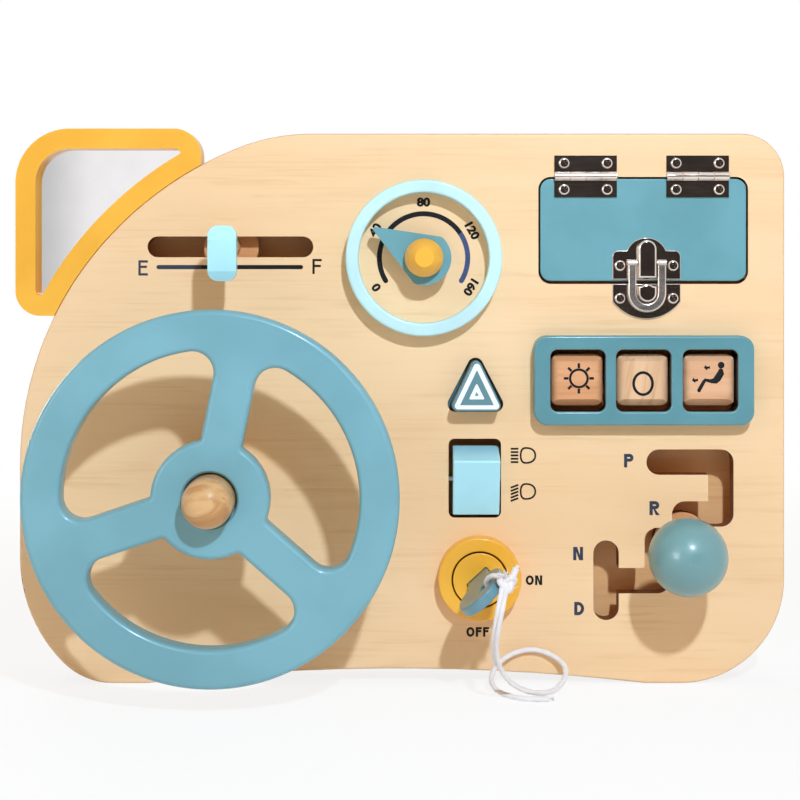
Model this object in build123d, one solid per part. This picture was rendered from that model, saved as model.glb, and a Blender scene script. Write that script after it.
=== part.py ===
from build123d import *
import math
import os

# Wooden driving board for toddlers.  Millimetres.
# The board is drawn lying on its back: X to the right, Y up the board, Z out of its face.
# save() stands every piece up, so that the face looks along -Y and the feet stand on Z = 0.

# ---------------------------------------------------------------- rows of the dashboard
air_y, air_h = 146.0, 42.5       # middle and height of the frame with the blocks
door_row_gap = 24.55             # wood between that frame and the door's opening
door_h = 51.4
top_rail = 20.8                  # wood above the door's opening
door_bottom = air_y + air_h / 2 + door_row_gap
door_y = door_bottom + door_h / 2

# ---------------------------------------------------------------- board body
board_left = -182.6
board_right = 184.6
board_top = door_y + door_h / 2 + top_rail
panel_t = 9.0            # front panel
cavity_t = 13.0          # room between the two panels
back_t = 8.0             # back panel
rim_w = 6.5              # width of the spacer rim
big_corner_r = 50.0      # lower right corner
top_corner_r = 20.6
swept_corner = ((95.0, 22), (170.0, 30), (160.0, 38))    # upper left, arcs as radius and turn
low_corner = ((71.0, 45), (33.5, 45))                    # lower left
foot_w = 16.5            # flat land of each foot
arch_rise = 7.0
edge_round = 1.2
panel_back = -panel_t
cavity_back = panel_back - cavity_t
board_back = cavity_back - back_t
gap = 0.3                # running gap between pieces that move
pin_gap = 0.05           # round a turning pin

# ---------------------------------------------------------------- mirror
mirror_left = board_left - 2.0
mirror_top = board_top + 2.4
mirror_w, mirror_h = 89.1, 89.9
mirror_side_h, mirror_foot_w = 30.4, 30.6        # straight parts beside the slanted edge
mirror_corner_r, mirror_tip_r, mirror_foot_r = 26.0, 13.0, 12.0
mirror_band = 9.6
tongue_inset = 5.0
glass_t = 2.0
glass_lap = 2.5
mirror_plate_t = 4.0

# ---------------------------------------------------------------- steering wheel
wheel_x, wheel_y = -84.1, 97.1
wheel_r = 84.0
wheel_rim_w = 17.8
hub_r = 26.5
spoke_w = 18.5
spoke_angle = 78.7
wheel_t = 12.0
wheel_back = 50.0        # height of the wheel's back above the board
wheel_round = 2.5
hub_hole_r = 12.25
hub_floor = 6.0          # wood left under the hub's recess
cap_r = 11.25
cap_out = 19.0           # cap above the wheel's face
bolt_r = 4.0
bolt_head_r = 8.0
bolt_head_t = 5.0
column_r = 18.0
washer_r, washer_t = 11.0, 1.2
steering_block_r = 30.0

# ---------------------------------------------------------------- rear stands
stand_x = 112.0
stand_t = 15.0
stand_h = 110.0
stand_toe = 14.0
wheel_face = wheel_back + wheel_t
front_reach = wheel_face + cap_out
stand_depth = front_reach + board_back

# ---------------------------------------------------------------- speedometer
dial_x, dial_y = 11.3, door_y - 13.2
dial_r, dial_bore_r = 37.2, 31.0
dial_t = 10.0
needle_tip = 28.0
needle_tail_r = 13.0
needle_half_angle = 22.0
needle_angle = 149.5
needle_t = 4.0
needle_base = 8.5
knob_r, knob_top_r = 9.1, 4.3
knob_h = 13.5
needle_pin_r = 2.0

# ---------------------------------------------------------------- fuel slider
fuel_x, fuel_y = -81.4, door_y - 7.9
fuel_slot_l, fuel_slot_w = 79.5, 10.0
slider_x = -82.0
stem_r = 4.7
keeper_r = 13.5          # round keeper behind the panel
keeper_t = 5.0
tab_w, tab_h, tab_t, tab_r = 13.1, 25.6, 7.0, 4.5
tab_back = 25.0
tab_drop = 3.3
tab_top_slope, tab_foot_slope = (6.5, 2.4), (4.5, 2.0)   # length and fall of the rolled ends
tab_socket = 3.0

# ---------------------------------------------------------------- gear lever
gate_w = 12.2
gate_x = (98.9, 123.5, 136.7, 154.0)
gate_y = (36.6, 49.4, 62.6, 68.7, 81.4, 106.3)
park_x = 124.4
lever_x, lever_y = 136.7, 67.6
lever_lean = 7.0
lever_r = 4.75
ball_r = 18.0
ball_h = 38.0

# ---------------------------------------------------------------- door, hinges, latch
door_x, door_w = 116.75, 100.7
door_corner_r = 6.0
compartment_wall, door_stop = 5.0, 2.5
door_gap = 0.9
hinge_xs = (89.0, 142.7)
hinge_w, hinge_h = 30.0, 20.0
leaf_t = 0.9
barrel_r = 1.95
hinge_pin_r = 0.95
knuckles = 4
screw_dx, screw_dy = 10.3, 6.3
screw_head_r, screw_head_t = 2.55, 1.0
cross_l, cross_w, cross_d = 2.8, 0.6, 0.55               # cross recess
screw_r, screw_l = 1.1, 6.0
hinge_y = door_y + door_h / 2 + 0.2
hinge_z = barrel_r + pin_gap
latch_x = 118.2
latch_w = 32.8
plate_t = 0.9
upper_plate_y0, upper_plate_y1 = door_bottom + 2.1, door_bottom + 16.1
upper_plate_arch = door_bottom + 22.3
lower_plate_y0, lower_plate_y1 = door_bottom - 8.5, door_bottom + 0.1
lower_plate_tip = door_bottom - 16.9
plate_round = 0.4
arch_w = 20.4
hasp_w, hasp_bar_w = 18.4, 4.3
hasp_bottom = door_bottom - 13.6
hasp_t = 1.4
hasp_y, hasp_z = door_bottom + 10.2, 2.5
hasp_play = 0.5
tongue_rise = 1.9
ear_r, hasp_pin_r = 1.45, 0.7
latch_screw_dx = 12.7
latch_screw_ys = (door_bottom + 8.8, door_bottom - 6.9)

# ---------------------------------------------------------------- air control blocks
air_x, air_w, air_t = 116.0, 104.5, 9.0
air_corner_r = 6.5
block_xs = (84.5, 115.7, 147.4)
window_w, window_h, window_r = 26.1, 29.3, 3.4
block_s = 24.4
block_bevel = 3.2
block_w = 24.8
block_corner_r = 4.0
axle_depth = 6.5
axle_r = 1.25
axle_l = 104.0
keeper_block_w, keeper_block_h, keeper_block_t = 5.0, 12.0, 5.0

# ---------------------------------------------------------------- hazard button
hazard_x, hazard_y = 36.2, 134.2
hazard_base, hazard_rise, hazard_r = 17.8, 18.4, 2.6
hazard_gap, hazard_side_gap = 1.2, 0.65
hazard_out = 11.0
hazard_travel = 4.0
flange_w, flange_t = 3.0, 2.7
spring_r, spring_wire_r, spring_turns = 5.0, 0.6, 4

# ---------------------------------------------------------------- light rocker
rocker_x, rocker_y = 35.9, 98.6          # middle of the window
rocker_pin_y = rocker_y - 0.6
rocker_body_dx, rocker_body_dy = 0.6, -0.75   # middle of the rocker from its window and its pin
rocker_window_w, rocker_window_h = 25.2, 37.9
rocker_w, rocker_l, rocker_t = 22.4, 29.0, 18.0
rocker_depth = 3.5
rocker_tilt = 20.0
rocker_pin_r = 1.5

# ---------------------------------------------------------------- ignition and key
lock_x, lock_y = 37.9, 51.5
lock_gap = 0.5
lock_r = 19.75
lock_t = 9.0
barrel_lock_r = 12.8
lock_flange_r = 16.0
key_angle = 43.0
key_t = 5.0
key_round = 1.0
blade_w = 12.5
blade_bottom = -8.0
key_head_r, key_head_l = 13.0, 18.0
key_head_z = 37.0
key_hole_u, key_hole_z, key_hole_r = 3.5, 41.0, 3.75
knot_u, knot_z, knot_r = 12.4, 51.5, 3.1
loop_half_w = 4.6
cord_r = 1.2

BASE = (Align.CENTER, Align.CENTER, Align.MIN)
MIDDLE = (Align.CENTER, Align.CENTER, Align.CENTER)


# ================================================================ helpers
def save(name, *solids):
    """Stand a piece up and write it; several solids stay separate in one node."""
    shape = solids[0] if len(solids) == 1 else Compound(list(solids))
    export_step(Rot(90, 0, 0) * shape, f"parts/{name}.step")


def slab(face, low, high):
    """A flat piece of the face's outline between two heights."""
    return Pos(0, 0, low) * extrude(face, amount=high - low, dir=(0, 0, 1))


def rod(x, y, radius, low, high):
    """A round bar square to the board between two heights."""
    return Pos(x, y, low) * Cylinder(radius, high - low, align=BASE)


def cross_rod(x, y, z, radius, length):
    """A round bar along X, centred on the point."""
    return Pos(x, y, z) * Rot(0, 90, 0) * Cylinder(radius, length, align=MIDDLE)


def routed(points, width):
    """The cut that a round cutter leaves along a path."""
    cut = Sketch()
    for (x0, y0), (x1, y1) in zip(points, points[1:]):
        run = math.hypot(x1 - x0, y1 - y0)
        turn = math.degrees(math.atan2(y1 - y0, x1 - x0))
        cut += Pos((x0 + x1) / 2, (y0 + y1) / 2) * SlotCenterToCenter(run, width, rotation=turn)
    return cut


def screw(x, y, seat):
    """A small domed wood screw with its head seated at a height."""
    head = rod(x, y, screw_head_r, seat, seat + screw_head_t)
    head = fillet(head.edges().sort_by(Axis.Z)[-1], screw_head_t * 0.8)
    cross = Box(cross_l, cross_w, 2 * cross_d) + Box(cross_w, cross_l, 2 * cross_d)
    head -= Pos(x, y, seat + screw_head_t) * Rot(0, 0, 35) * cross
    return head + rod(x, y, screw_r, seat - screw_l, seat)


def pilot(x, y, seat):
    return rod(x, y, screw_r + pin_gap, seat - screw_l - gap, seat + gap)


# ================================================================ board body
def corner_arcs(start, heading, arcs):
    """Chain of tangent arcs that turn anticlockwise from a heading in degrees."""
    chain = []
    for radius, turn in arcs:
        way = (math.cos(math.radians(heading)), math.sin(math.radians(heading)))
        chain.append(JernArc(start, way, radius, turn))
        start, heading = chain[-1] @ 1, heading + turn
    return chain


def board_face():
    """Outline of the board: two feet, a low arch, a swept upper left corner."""
    swept = corner_arcs((0, board_top), 180, swept_corner)
    start_x = board_left - (swept[-1] @ 1).X
    swept = corner_arcs((start_x, board_top), 180, swept_corner)
    low = corner_arcs((board_left, 0), 270, low_corner)
    low = corner_arcs((board_left, -(low[-1] @ 1).Y), 270, low_corner)
    foot_left = (low[-1] @ 1).X
    foot_right = board_right - big_corner_r
    arch_left, arch_right = foot_left + foot_w, foot_right - foot_w
    arch_mid = (arch_left + arch_right) / 2
    lines = [
        Line((foot_left, 0), (arch_left, 0)),
        ThreePointArc((arch_left, 0), (arch_mid, arch_rise), (arch_right, 0)),
        Line((arch_right, 0), (foot_right, 0)),
        CenterArc((foot_right, big_corner_r), big_corner_r, -90, 90),
        Line((board_right, big_corner_r), (board_right, board_top - top_corner_r)),
        CenterArc((board_right - top_corner_r, board_top - top_corner_r), top_corner_r, 0, 90),
        Line((board_right - top_corner_r, board_top), (start_x, board_top)),
        *swept,
        Line(swept[-1] @ 1, low[0] @ 0),
        *low,
    ]
    return make_face(lines)


def gear_gate():
    """The stepped slot P - R - N - D."""
    park = (park_x, gate_y[5])
    path = [park, (gate_x[3], gate_y[5]), (gate_x[3], gate_y[4]), (gate_x[2], gate_y[4]),
            (gate_x[2], gate_y[3]), (gate_x[1], gate_y[3]), (gate_x[1], gate_y[1]),
            (gate_x[0], gate_y[1])]
    return routed(path, gate_w) + routed([(gate_x[0], gate_y[2]), (gate_x[0], gate_y[0])], gate_w)


def hazard_face(grow, spread=0):
    """Rounded triangle of the hazard button, grown all round and spread sideways."""
    half = hazard_base / 2 + spread
    core = Polygon((-half, 0), (half, 0), (0, hazard_rise), align=None)
    return Pos(hazard_x, hazard_y) * offset(core, amount=hazard_r + grow, kind=Kind.ARC)


def panel_openings():
    cut = Pos(fuel_x, fuel_y) * SlotOverall(fuel_slot_l, fuel_slot_w)
    cut += gear_gate()
    cut += Pos(door_x, door_y) * RectangleRounded(door_w, door_h, door_corner_r)
    cut += hazard_face(hazard_gap, hazard_side_gap)
    cut += Pos(rocker_x, rocker_y) * RectangleRounded(rocker_window_w, rocker_window_h, 3)
    cut += Pos(air_x, air_y) * RectangleRounded(
        block_xs[2] - block_xs[0] + window_w + 2, 2 * block_sweep() + 4 * gap, 4)
    cut += Pos(lock_x, lock_y) * Circle(barrel_lock_r + lock_gap)
    cut += Pos(wheel_x, wheel_y) * Circle(bolt_r + pin_gap)
    cut += Pos(dial_x, dial_y) * Circle(needle_pin_r + pin_gap)
    return cut


def block_sweep():
    """Radius that a bevelled block needs to turn in."""
    return math.hypot(block_s / 2, block_s / 2 - block_bevel)


def hinge_screws(side):
    """Screw places of both hinges; side is 1 on the panel and -1 on the door."""
    return [(x + s * screw_dx, hinge_y + side * screw_dy) for x in hinge_xs for s in (-1, 1)]


def latch_screws(y):
    return [(latch_x + s * latch_screw_dx, y) for s in (-1, 1)]


def rear_groove(x, y, depth, radius, length):
    """Groove across the back of the panel that takes a cross pin."""
    floor = cross_rod(x, y, -depth, radius, length)
    return floor + Pos(x, y, -depth) * Box(length, 2 * radius, panel_t, align=(
        Align.CENTER, Align.CENTER, Align.MAX))


def front_panel(face):
    panel = slab(face, panel_back, 0)
    panel = fillet(panel.edges().group_by(Axis.Z)[-1], edge_round)
    panel -= slab(panel_openings(), panel_back - 1, 1)
    panel -= rear_groove(rocker_x, rocker_pin_y, rocker_depth, rocker_pin_r + pin_gap, rocker_pin_l())
    panel -= rear_groove(air_x, air_y, axle_depth, axle_r + pin_gap, axle_l + 2 * gap)
    for x, y in hinge_screws(1) + latch_screws(latch_screw_ys[1]):
        panel -= pilot(x, y, 0)
    return panel


def spacer_rim(face):
    ring = slab(face - offset(face, amount=-rim_w), cavity_back, panel_back)
    return ring - slab(mirror_tongue(face, gap), panel_back - mirror_plate_t, panel_back)


def back_panel(face):
    panel = slab(face, board_back, cavity_back)
    panel = fillet(panel.edges().group_by(Axis.Z)[0], edge_round)
    recess = rod(wheel_x, wheel_y, bolt_head_r + 1, board_back - 1, board_back + bolt_head_t + 0.5)
    return panel - rod(wheel_x, wheel_y, bolt_r + pin_gap, board_back, cavity_back) - recess


def compartment_frame():
    """Frame behind the door opening: the door's stop and the wall of the compartment."""
    outer = Pos(door_x, door_y) * RectangleRounded(
        door_w + 2 * compartment_wall, door_h + 2 * compartment_wall,
        door_corner_r + compartment_wall)
    inner = Pos(door_x, door_y) * RectangleRounded(
        door_w - 2 * door_stop, door_h - 2 * door_stop, door_corner_r)
    return slab(outer - inner, cavity_back, panel_back)


def rear_stand(x):
    """Bracket behind the board, with a hollowed rear edge."""
    toe = -stand_depth
    profile = make_face([
        Line((0, 0), (toe, 0)), Line((toe, 0), (toe, stand_toe)),
        ThreePointArc((toe, stand_toe), (toe * 0.42, stand_h * 0.38), (-stand_toe, stand_h)),
        Line((-stand_toe, stand_h), (0, stand_h)), Line((0, stand_h), (0, 0))])
    bracket = extrude(profile, amount=-stand_t)
    return Pos(x - stand_t / 2, 0, board_back) * Rot(0, -90, 0) * bracket


# ================================================================ mirror
def mirror_outline():
    """Sharp outline of the mirror, as if the board didn't cut into it."""
    right, low = mirror_left + mirror_w, mirror_top - mirror_h
    return Polygon((mirror_left, mirror_top), (right, mirror_top),
                   (right, mirror_top - mirror_side_h), (mirror_left + mirror_foot_w, low),
                   (mirror_left, low), align=None)


def mirror_blank():
    """The outline with its three outer corners rounded."""
    blank = mirror_outline()
    corners = (((mirror_left, mirror_top), mirror_corner_r),
               ((mirror_left, mirror_top - mirror_h), mirror_foot_r),
               ((mirror_left + mirror_w, mirror_top), mirror_tip_r))
    for corner, radius in corners:
        blank = fillet(blank.vertices().sort_by_distance(Vector(*corner))[0], radius)
    return blank


def mirror_window(face):
    """The glass opening keeps one band width from every edge of the frame."""
    return offset(mirror_blank(), amount=-mirror_band) - offset(face, amount=mirror_band)


def mirror_frame(face):
    window = mirror_window(face)
    frame = slab(mirror_blank() - face - window, panel_back, 0)
    rebate = slab(offset(window, amount=glass_lap), panel_back, panel_back + glass_t + gap)
    return frame - rebate


def mirror_glass(face):
    pane = offset(mirror_window(face), amount=glass_lap - gap)
    return slab(pane, panel_back + gap, panel_back + gap + glass_t - 0.1)


def mirror_tongue(face, grow):
    """Strip of the board's edge where the mirror's back plate is glued in."""
    zone = offset(mirror_outline(), amount=grow - tongue_inset, kind=Kind.INTERSECTION)
    return (face - offset(face, amount=-rim_w - grow)) & zone


def mirror_back_plate(face):
    low = panel_back - mirror_plate_t
    return slab(mirror_blank() - face, low, panel_back) + slab(
        mirror_tongue(face, 0), low, panel_back)


# ================================================================ steering
def steering_wheel():
    ring_bore = wheel_r - wheel_rim_w
    spokes = Sketch()
    for turn in (0, 120, 240):
        spokes += Rot(0, 0, spoke_angle + turn) * Pos(wheel_r / 2, 0) * Rectangle(wheel_r, spoke_w)
    gaps = Circle(ring_bore) - Circle(hub_r) - spokes
    outer = [v for v in gaps.vertices() if math.hypot(v.X, v.Y) > ring_bore - 1]
    gaps = fillet(outer, 9.5)
    inner = [v for v in gaps.vertices() if math.hypot(v.X, v.Y) < hub_r + 1]
    gaps = fillet(inner, 1.8)
    wheel = slab(Circle(wheel_r) - gaps, wheel_back, wheel_face)
    sharp = wheel.edges().group_by(Axis.Z)
    wheel = fillet(sharp[-1] + sharp[0], wheel_round)
    wheel -= rod(0, 0, hub_hole_r, wheel_back + hub_floor, wheel_face)
    wheel = chamfer(wheel.edges().filter_by(GeomType.CIRCLE).filter_by(
        lambda e: abs(e.radius - hub_hole_r) < 0.01).sort_by(Axis.Z)[-1], 0.8)
    wheel -= rod(0, 0, bolt_r + pin_gap, wheel_back, wheel_face)
    return Pos(wheel_x, wheel_y, 0) * wheel


def steering_cap():
    low = wheel_back + hub_floor + gap
    cap = rod(wheel_x, wheel_y, cap_r, low, front_reach)
    cap = fillet(cap.edges().group_by(Axis.Z)[-1], cap_r * 0.93)
    return cap - rod(wheel_x, wheel_y, bolt_r + pin_gap, low, wheel_face + 5)


def steering_bolt():
    head = extrude(RegularPolygon(bolt_head_r, 6, major_radius=True), amount=bolt_head_t)
    seat = board_back + 0.5
    return Pos(wheel_x, wheel_y, seat) * head + rod(
        wheel_x, wheel_y, bolt_r, seat + bolt_head_t, wheel_face + 5 - gap)


def steering_column():
    column = rod(wheel_x, wheel_y, column_r, 0, wheel_back - washer_t - gap)
    column = chamfer(column.edges().group_by(Axis.Z)[-1], 1.5)
    return column - rod(wheel_x, wheel_y, bolt_r + pin_gap, 0, wheel_back)


def steering_washer():
    low = wheel_back - washer_t - gap
    washer = rod(wheel_x, wheel_y, washer_r, low, low + washer_t)
    return washer - rod(wheel_x, wheel_y, bolt_r + pin_gap, low, wheel_back)


def steering_block():
    block = rod(wheel_x, wheel_y, steering_block_r, cavity_back, panel_back)
    return block - rod(wheel_x, wheel_y, bolt_r + pin_gap, cavity_back, panel_back)


# ================================================================ speedometer
def dial_ring():
    ring = rod(dial_x, dial_y, dial_r, 0, dial_t) - rod(dial_x, dial_y, dial_bore_r, 0, dial_t)
    return fillet(ring.edges().group_by(Axis.Z)[-1], 1.2)


def needle():
    half = math.radians(needle_half_angle)
    reach = needle_tip + 1.5
    back = -needle_tail_r - 1
    side = (reach - back) * math.tan(half)
    wedge = Polygon((reach, 0), (back, side), (back, -side), align=None)
    body = Circle(needle_tail_r) + Pos(reach / 2, 0) * Rectangle(reach, 2 * needle_tail_r)
    shape = wedge & body
    tail = [v for v in shape.vertices() if v.X < 0]
    shape = fillet(tail, 3)
    tip = [v for v in shape.vertices() if v.X > needle_tip]
    shape = fillet(tip, 1.0)
    plate = slab(shape - Circle(needle_pin_r + pin_gap), needle_base, needle_base + needle_t)
    return Pos(dial_x, dial_y, 0) * Rot(0, 0, needle_angle) * plate


def needle_spacer():
    post = rod(dial_x, dial_y, 7, 0, needle_base - gap)
    return post - rod(dial_x, dial_y, needle_pin_r + pin_gap, 0, needle_base)


def needle_knob():
    low = needle_base + needle_t
    profile = make_face([
        Line((0, low), (knob_r - 0.6, low)), Line((knob_r - 0.6, low), (knob_r, low + 1)),
        Line((knob_r, low + 1), (knob_r, low + 4)),
        ThreePointArc((knob_r, low + 4), (knob_r - 2.2, low + 9.5), (knob_top_r, low + knob_h)),
        Line((knob_top_r, low + knob_h), (0, low + knob_h)), Line((0, low + knob_h), (0, low))])
    knob = Pos(dial_x, dial_y, 0) * revolve(Plane.XZ * profile, axis=Axis.Z)
    return knob - rod(dial_x, dial_y, needle_pin_r + pin_gap, low, low + 9)


def needle_screw():
    low = panel_back - gap
    return rod(dial_x, dial_y, 4.5, low - 2.5, low) + rod(
        dial_x, dial_y, needle_pin_r, low, needle_base + needle_t + 9 - gap)


# ================================================================ fuel slider
def slider_tab():
    """Thumb tab with its two ends falling away from a flat middle."""
    y = fuel_y - tab_drop
    low, high, front = y - tab_h / 2, y + tab_h / 2, tab_back + tab_t
    (top_l, top_fall), (foot_l, foot_fall) = tab_top_slope, tab_foot_slope
    side = make_face(Plane.YZ * Polyline(
        (low, tab_back), (high, tab_back), (high, front - top_fall), (high - top_l, front),
        (low + foot_l, front), (low, front - foot_fall), close=True))
    tab = Pos(slider_x, 0, 0) * extrude(side, amount=tab_w, both=True)
    tab &= slab(Pos(slider_x, y) * RectangleRounded(tab_w, tab_h, tab_r), tab_back, front)
    tab = fillet(tab.edges().group_by(Axis.Z)[0], 1.0)
    return tab - rod(slider_x, fuel_y, stem_r + pin_gap, tab_back, tab_back + tab_socket)


def slider_stem():
    return rod(slider_x, fuel_y, stem_r, panel_back - gap - keeper_t,
               tab_back + tab_socket - gap)


def slider_keeper():
    low = panel_back - gap - keeper_t
    disc = rod(slider_x, fuel_y, keeper_r, low, low + keeper_t)
    disc = fillet(disc.edges().group_by(Axis.Z)[-1], 0.8)
    return disc - rod(slider_x, fuel_y, stem_r + pin_gap, low, low + keeper_t)


# ================================================================ gear lever
def leaned(shape):
    """Lean a piece about the middle of the panel, towards the wheel."""
    return Pos(lever_x, lever_y, -panel_t / 2) * Rot(0, -lever_lean, 0) * shape


def gear_stem():
    return leaned(rod(0, 0, lever_r, -panel_t / 2 - keeper_t - 2, ball_h - 2))


def gear_ball():
    ball = leaned(Pos(0, 0, ball_h + panel_t / 2) * Sphere(ball_r))
    return ball - leaned(rod(0, 0, lever_r + pin_gap, 0, ball_h - 2 + gap))


def gear_keeper():
    low = panel_back - gap - keeper_t
    disc = rod(lever_x, lever_y, keeper_r, low, low + keeper_t)
    disc = fillet(disc.edges().group_by(Axis.Z)[-1], 0.8)
    return disc - leaned(rod(0, 0, lever_r + pin_gap, -panel_t / 2 - keeper_t - 4, panel_t))


# ================================================================ door and hinges
def door():
    top = hinge_y - 0.2 - door_gap
    bottom = door_y - door_h / 2 + door_gap + 0.5
    face = Pos(door_x, (top + bottom) / 2) * RectangleRounded(
        door_w - 2 * door_gap, top - bottom, door_corner_r - door_gap)
    plate = slab(face, panel_back + gap, 0)
    plate = fillet(plate.edges().group_by(Axis.Z)[-1], 0.6)
    for x, y in hinge_screws(-1) + latch_screws(latch_screw_ys[0]):
        plate -= pilot(x, y, 0)
    return plate


def hinge_leaf(x, side):
    """One leaf with its knuckles; side is 1 for the panel's leaf and -1 for the door's."""
    pitch = hinge_w / knuckles
    reach = hinge_h / 2
    start = barrel_r + gap
    plate = Pos(x, hinge_y + side * (start + reach) / 2, 0) * Box(
        hinge_w, reach - start, leaf_t, align=BASE)
    first = 0 if side > 0 else 1
    for i in range(first, knuckles, 2):
        kx = x - hinge_w / 2 + (i + 0.5) * pitch
        curl = cross_rod(kx, hinge_y, hinge_z, barrel_r, pitch - gap)
        strap = Pos(kx, hinge_y + side * start / 2, 0) * Box(pitch - gap, start, leaf_t, align=BASE)
        plate += curl + (strap - cross_rod(kx, hinge_y, hinge_z, barrel_r - leaf_t, pitch))
    plate -= cross_rod(x, hinge_y, hinge_z, hinge_pin_r + pin_gap, hinge_w)
    for s in (-1, 1):
        plate -= rod(x + s * screw_dx, hinge_y + side * screw_dy, screw_r + pin_gap, 0, leaf_t)
    return plate


def hinge_pin(x):
    return cross_rod(x, hinge_y, hinge_z, hinge_pin_r, hinge_w)


# ================================================================ latch
def strip(width, low, high, square_end):
    """A strip with one square end; square_end is -1 at the bottom and 1 at the top."""
    half = width / 2
    round_y = low + half if square_end > 0 else high - half
    body = Pos(latch_x, (low + high) / 2 + square_end * half / 2) * Rectangle(
        width, high - low - half)
    return body + Pos(latch_x, round_y) * Circle(half)


def upper_latch_plate():
    """Door plate: arched head, shoulders, a raised spring bridge and the hasp's eye."""
    mid = (upper_plate_y0 + upper_plate_y1) / 2
    face = Pos(latch_x, mid) * Rectangle(latch_w, upper_plate_y1 - upper_plate_y0)
    face = fillet(face.vertices().group_by(Axis.Y)[-1], 3)
    head_r = arch_w / 2
    face += Pos(latch_x, upper_plate_arch - head_r) * Circle(head_r)
    plate = slab(face, 0, plate_t)
    plate = fillet(plate.edges().group_by(Axis.Z)[-1], plate_round)
    bridge_w = hasp_w - 2 * hasp_bar_w - 2 * hasp_play
    bridge = strip(bridge_w, upper_plate_y0 + 0.6, upper_plate_arch - 1.2, -1)
    hump = slab(bridge, plate_t, hasp_z + ear_r + 0.4)
    plate += fillet(hump.edges().group_by(Axis.Z)[-1], 1.1)
    plate -= cross_rod(latch_x, hasp_y, hasp_z, hasp_pin_r + pin_gap, latch_w)
    for x, y in latch_screws(latch_screw_ys[0]):
        plate -= rod(x, y, screw_r + pin_gap, 0, plate_t)
    return plate


def latch_hasp():
    """The swinging loop: two bars with rolled ears, joined by a round bottom band."""
    outer_r = hasp_w / 2
    bend_y = hasp_bottom + outer_r
    outer = Pos(latch_x, bend_y) * Circle(outer_r)
    outer += Pos(latch_x, (bend_y + hasp_y) / 2) * Rectangle(hasp_w, hasp_y - bend_y)
    bore_r = outer_r - hasp_bar_w
    inner = Pos(latch_x, bend_y) * Circle(bore_r)
    inner += Pos(latch_x, (bend_y + hasp_y) / 2 + 1) * Rectangle(2 * bore_r, hasp_y - bend_y + 2)
    low = hasp_z - hasp_t / 2
    hasp = slab(outer - inner, low, low + hasp_t)
    hasp = fillet(hasp.edges().group_by(Axis.Z)[-1], hasp_t * 0.65)
    for s in (-1, 1):
        ear_x = latch_x + s * (outer_r - hasp_bar_w / 2)
        hasp += cross_rod(ear_x, hasp_y, hasp_z, ear_r, hasp_bar_w)
    return hasp - cross_rod(latch_x, hasp_y, hasp_z, hasp_pin_r + pin_gap, latch_w)


def latch_pin():
    return cross_rod(latch_x, hasp_y, hasp_z, hasp_pin_r, hasp_w)


def lower_latch_plate():
    """Panel plate with a round lower edge and the tongue that the hasp drops over."""
    half = latch_w / 2
    face = make_face([
        Line((-half, lower_plate_y1), (half, lower_plate_y1)),
        Line((half, lower_plate_y1), (half, lower_plate_y0)),
        ThreePointArc((half, lower_plate_y0), (0, lower_plate_tip), (-half, lower_plate_y0)),
        Line((-half, lower_plate_y0), (-half, lower_plate_y1))])
    plate = slab(Pos(latch_x, 0) * face, 0, plate_t)
    plate = fillet(plate.edges().group_by(Axis.Z)[-1], plate_round)
    tongue_w = hasp_w - 2 * hasp_bar_w - 2 * hasp_play
    tongue = strip(tongue_w, hasp_bottom + hasp_bar_w + 0.6, lower_plate_y1 - 1.0, 1)
    tongue = slab(tongue, plate_t, hasp_z + tongue_rise)
    plate += fillet(tongue.edges().group_by(Axis.Z)[-1], 1.0)
    for x, y in latch_screws(latch_screw_ys[1]):
        plate -= rod(x, y, screw_r + pin_gap, 0, plate_t)
    return plate


# ================================================================ air control blocks
def air_frame():
    face = RectangleRounded(air_w, air_h, air_corner_r)
    for x in block_xs:
        face -= Pos(x - air_x, 0) * RectangleRounded(window_w, window_h, window_r)
    frame = Pos(air_x, air_y, 0) * slab(face, 0, air_t)
    return fillet(frame.edges().group_by(Axis.Z)[-1], 1.0)


def air_block(x):
    """Block that tumbles on the axle, bevelled on the edges that sweep past the frame."""
    section = chamfer(Rectangle(block_s, block_s).vertices(), block_bevel)
    block = Rot(0, 90, 0) * extrude(section, amount=block_w / 2, both=True)
    front = RectangleRounded(block_w, block_s, block_corner_r)
    rounded = extrude(front, amount=block_s, both=True)
    block = block & rounded & (Rot(90, 0, 0) * rounded)
    block = Pos(x, air_y, -axle_depth) * block
    return block - cross_rod(x, air_y, -axle_depth, axle_r + pin_gap, 2 * block_w)


def air_axle():
    return cross_rod(air_x, air_y, -axle_depth, axle_r, axle_l)


def pin_keeper(x, y, depth, radius):
    """Small wooden block glued over the end of a cross pin, with a rib down its groove."""
    block = Pos(x, y, panel_back - keeper_block_t) * Box(
        keeper_block_w, keeper_block_h, keeper_block_t, align=BASE)
    rib_l = panel_t - depth - radius - gap
    return block + Pos(x, y, panel_back) * Box(keeper_block_w, 2 * radius, rib_l, align=BASE)


# ================================================================ hazard button
def hazard_button():
    button = slab(hazard_face(0), panel_back - gap, hazard_out)
    button = fillet(button.edges().group_by(Axis.Z)[-1], 0.8)
    low = panel_back - gap - flange_t
    return button + slab(hazard_face(flange_w), low, panel_back - gap)


def hazard_spring():
    top = panel_back - gap - flange_t
    length = top - cavity_back - 2 * spring_wire_r
    pitch = length / spring_turns
    path = Helix(pitch, length, spring_r)
    ring = Plane(path @ 0, z_dir=path % 0) * RegularPolygon(spring_wire_r, 6)
    coil = sweep(ring, path=path)
    x, y = hazard_x, hazard_y + hazard_rise / 3
    return Pos(x, y, cavity_back + spring_wire_r) * coil


# ================================================================ light rocker
def rocker_pin_l():
    return rocker_window_w + 12


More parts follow.
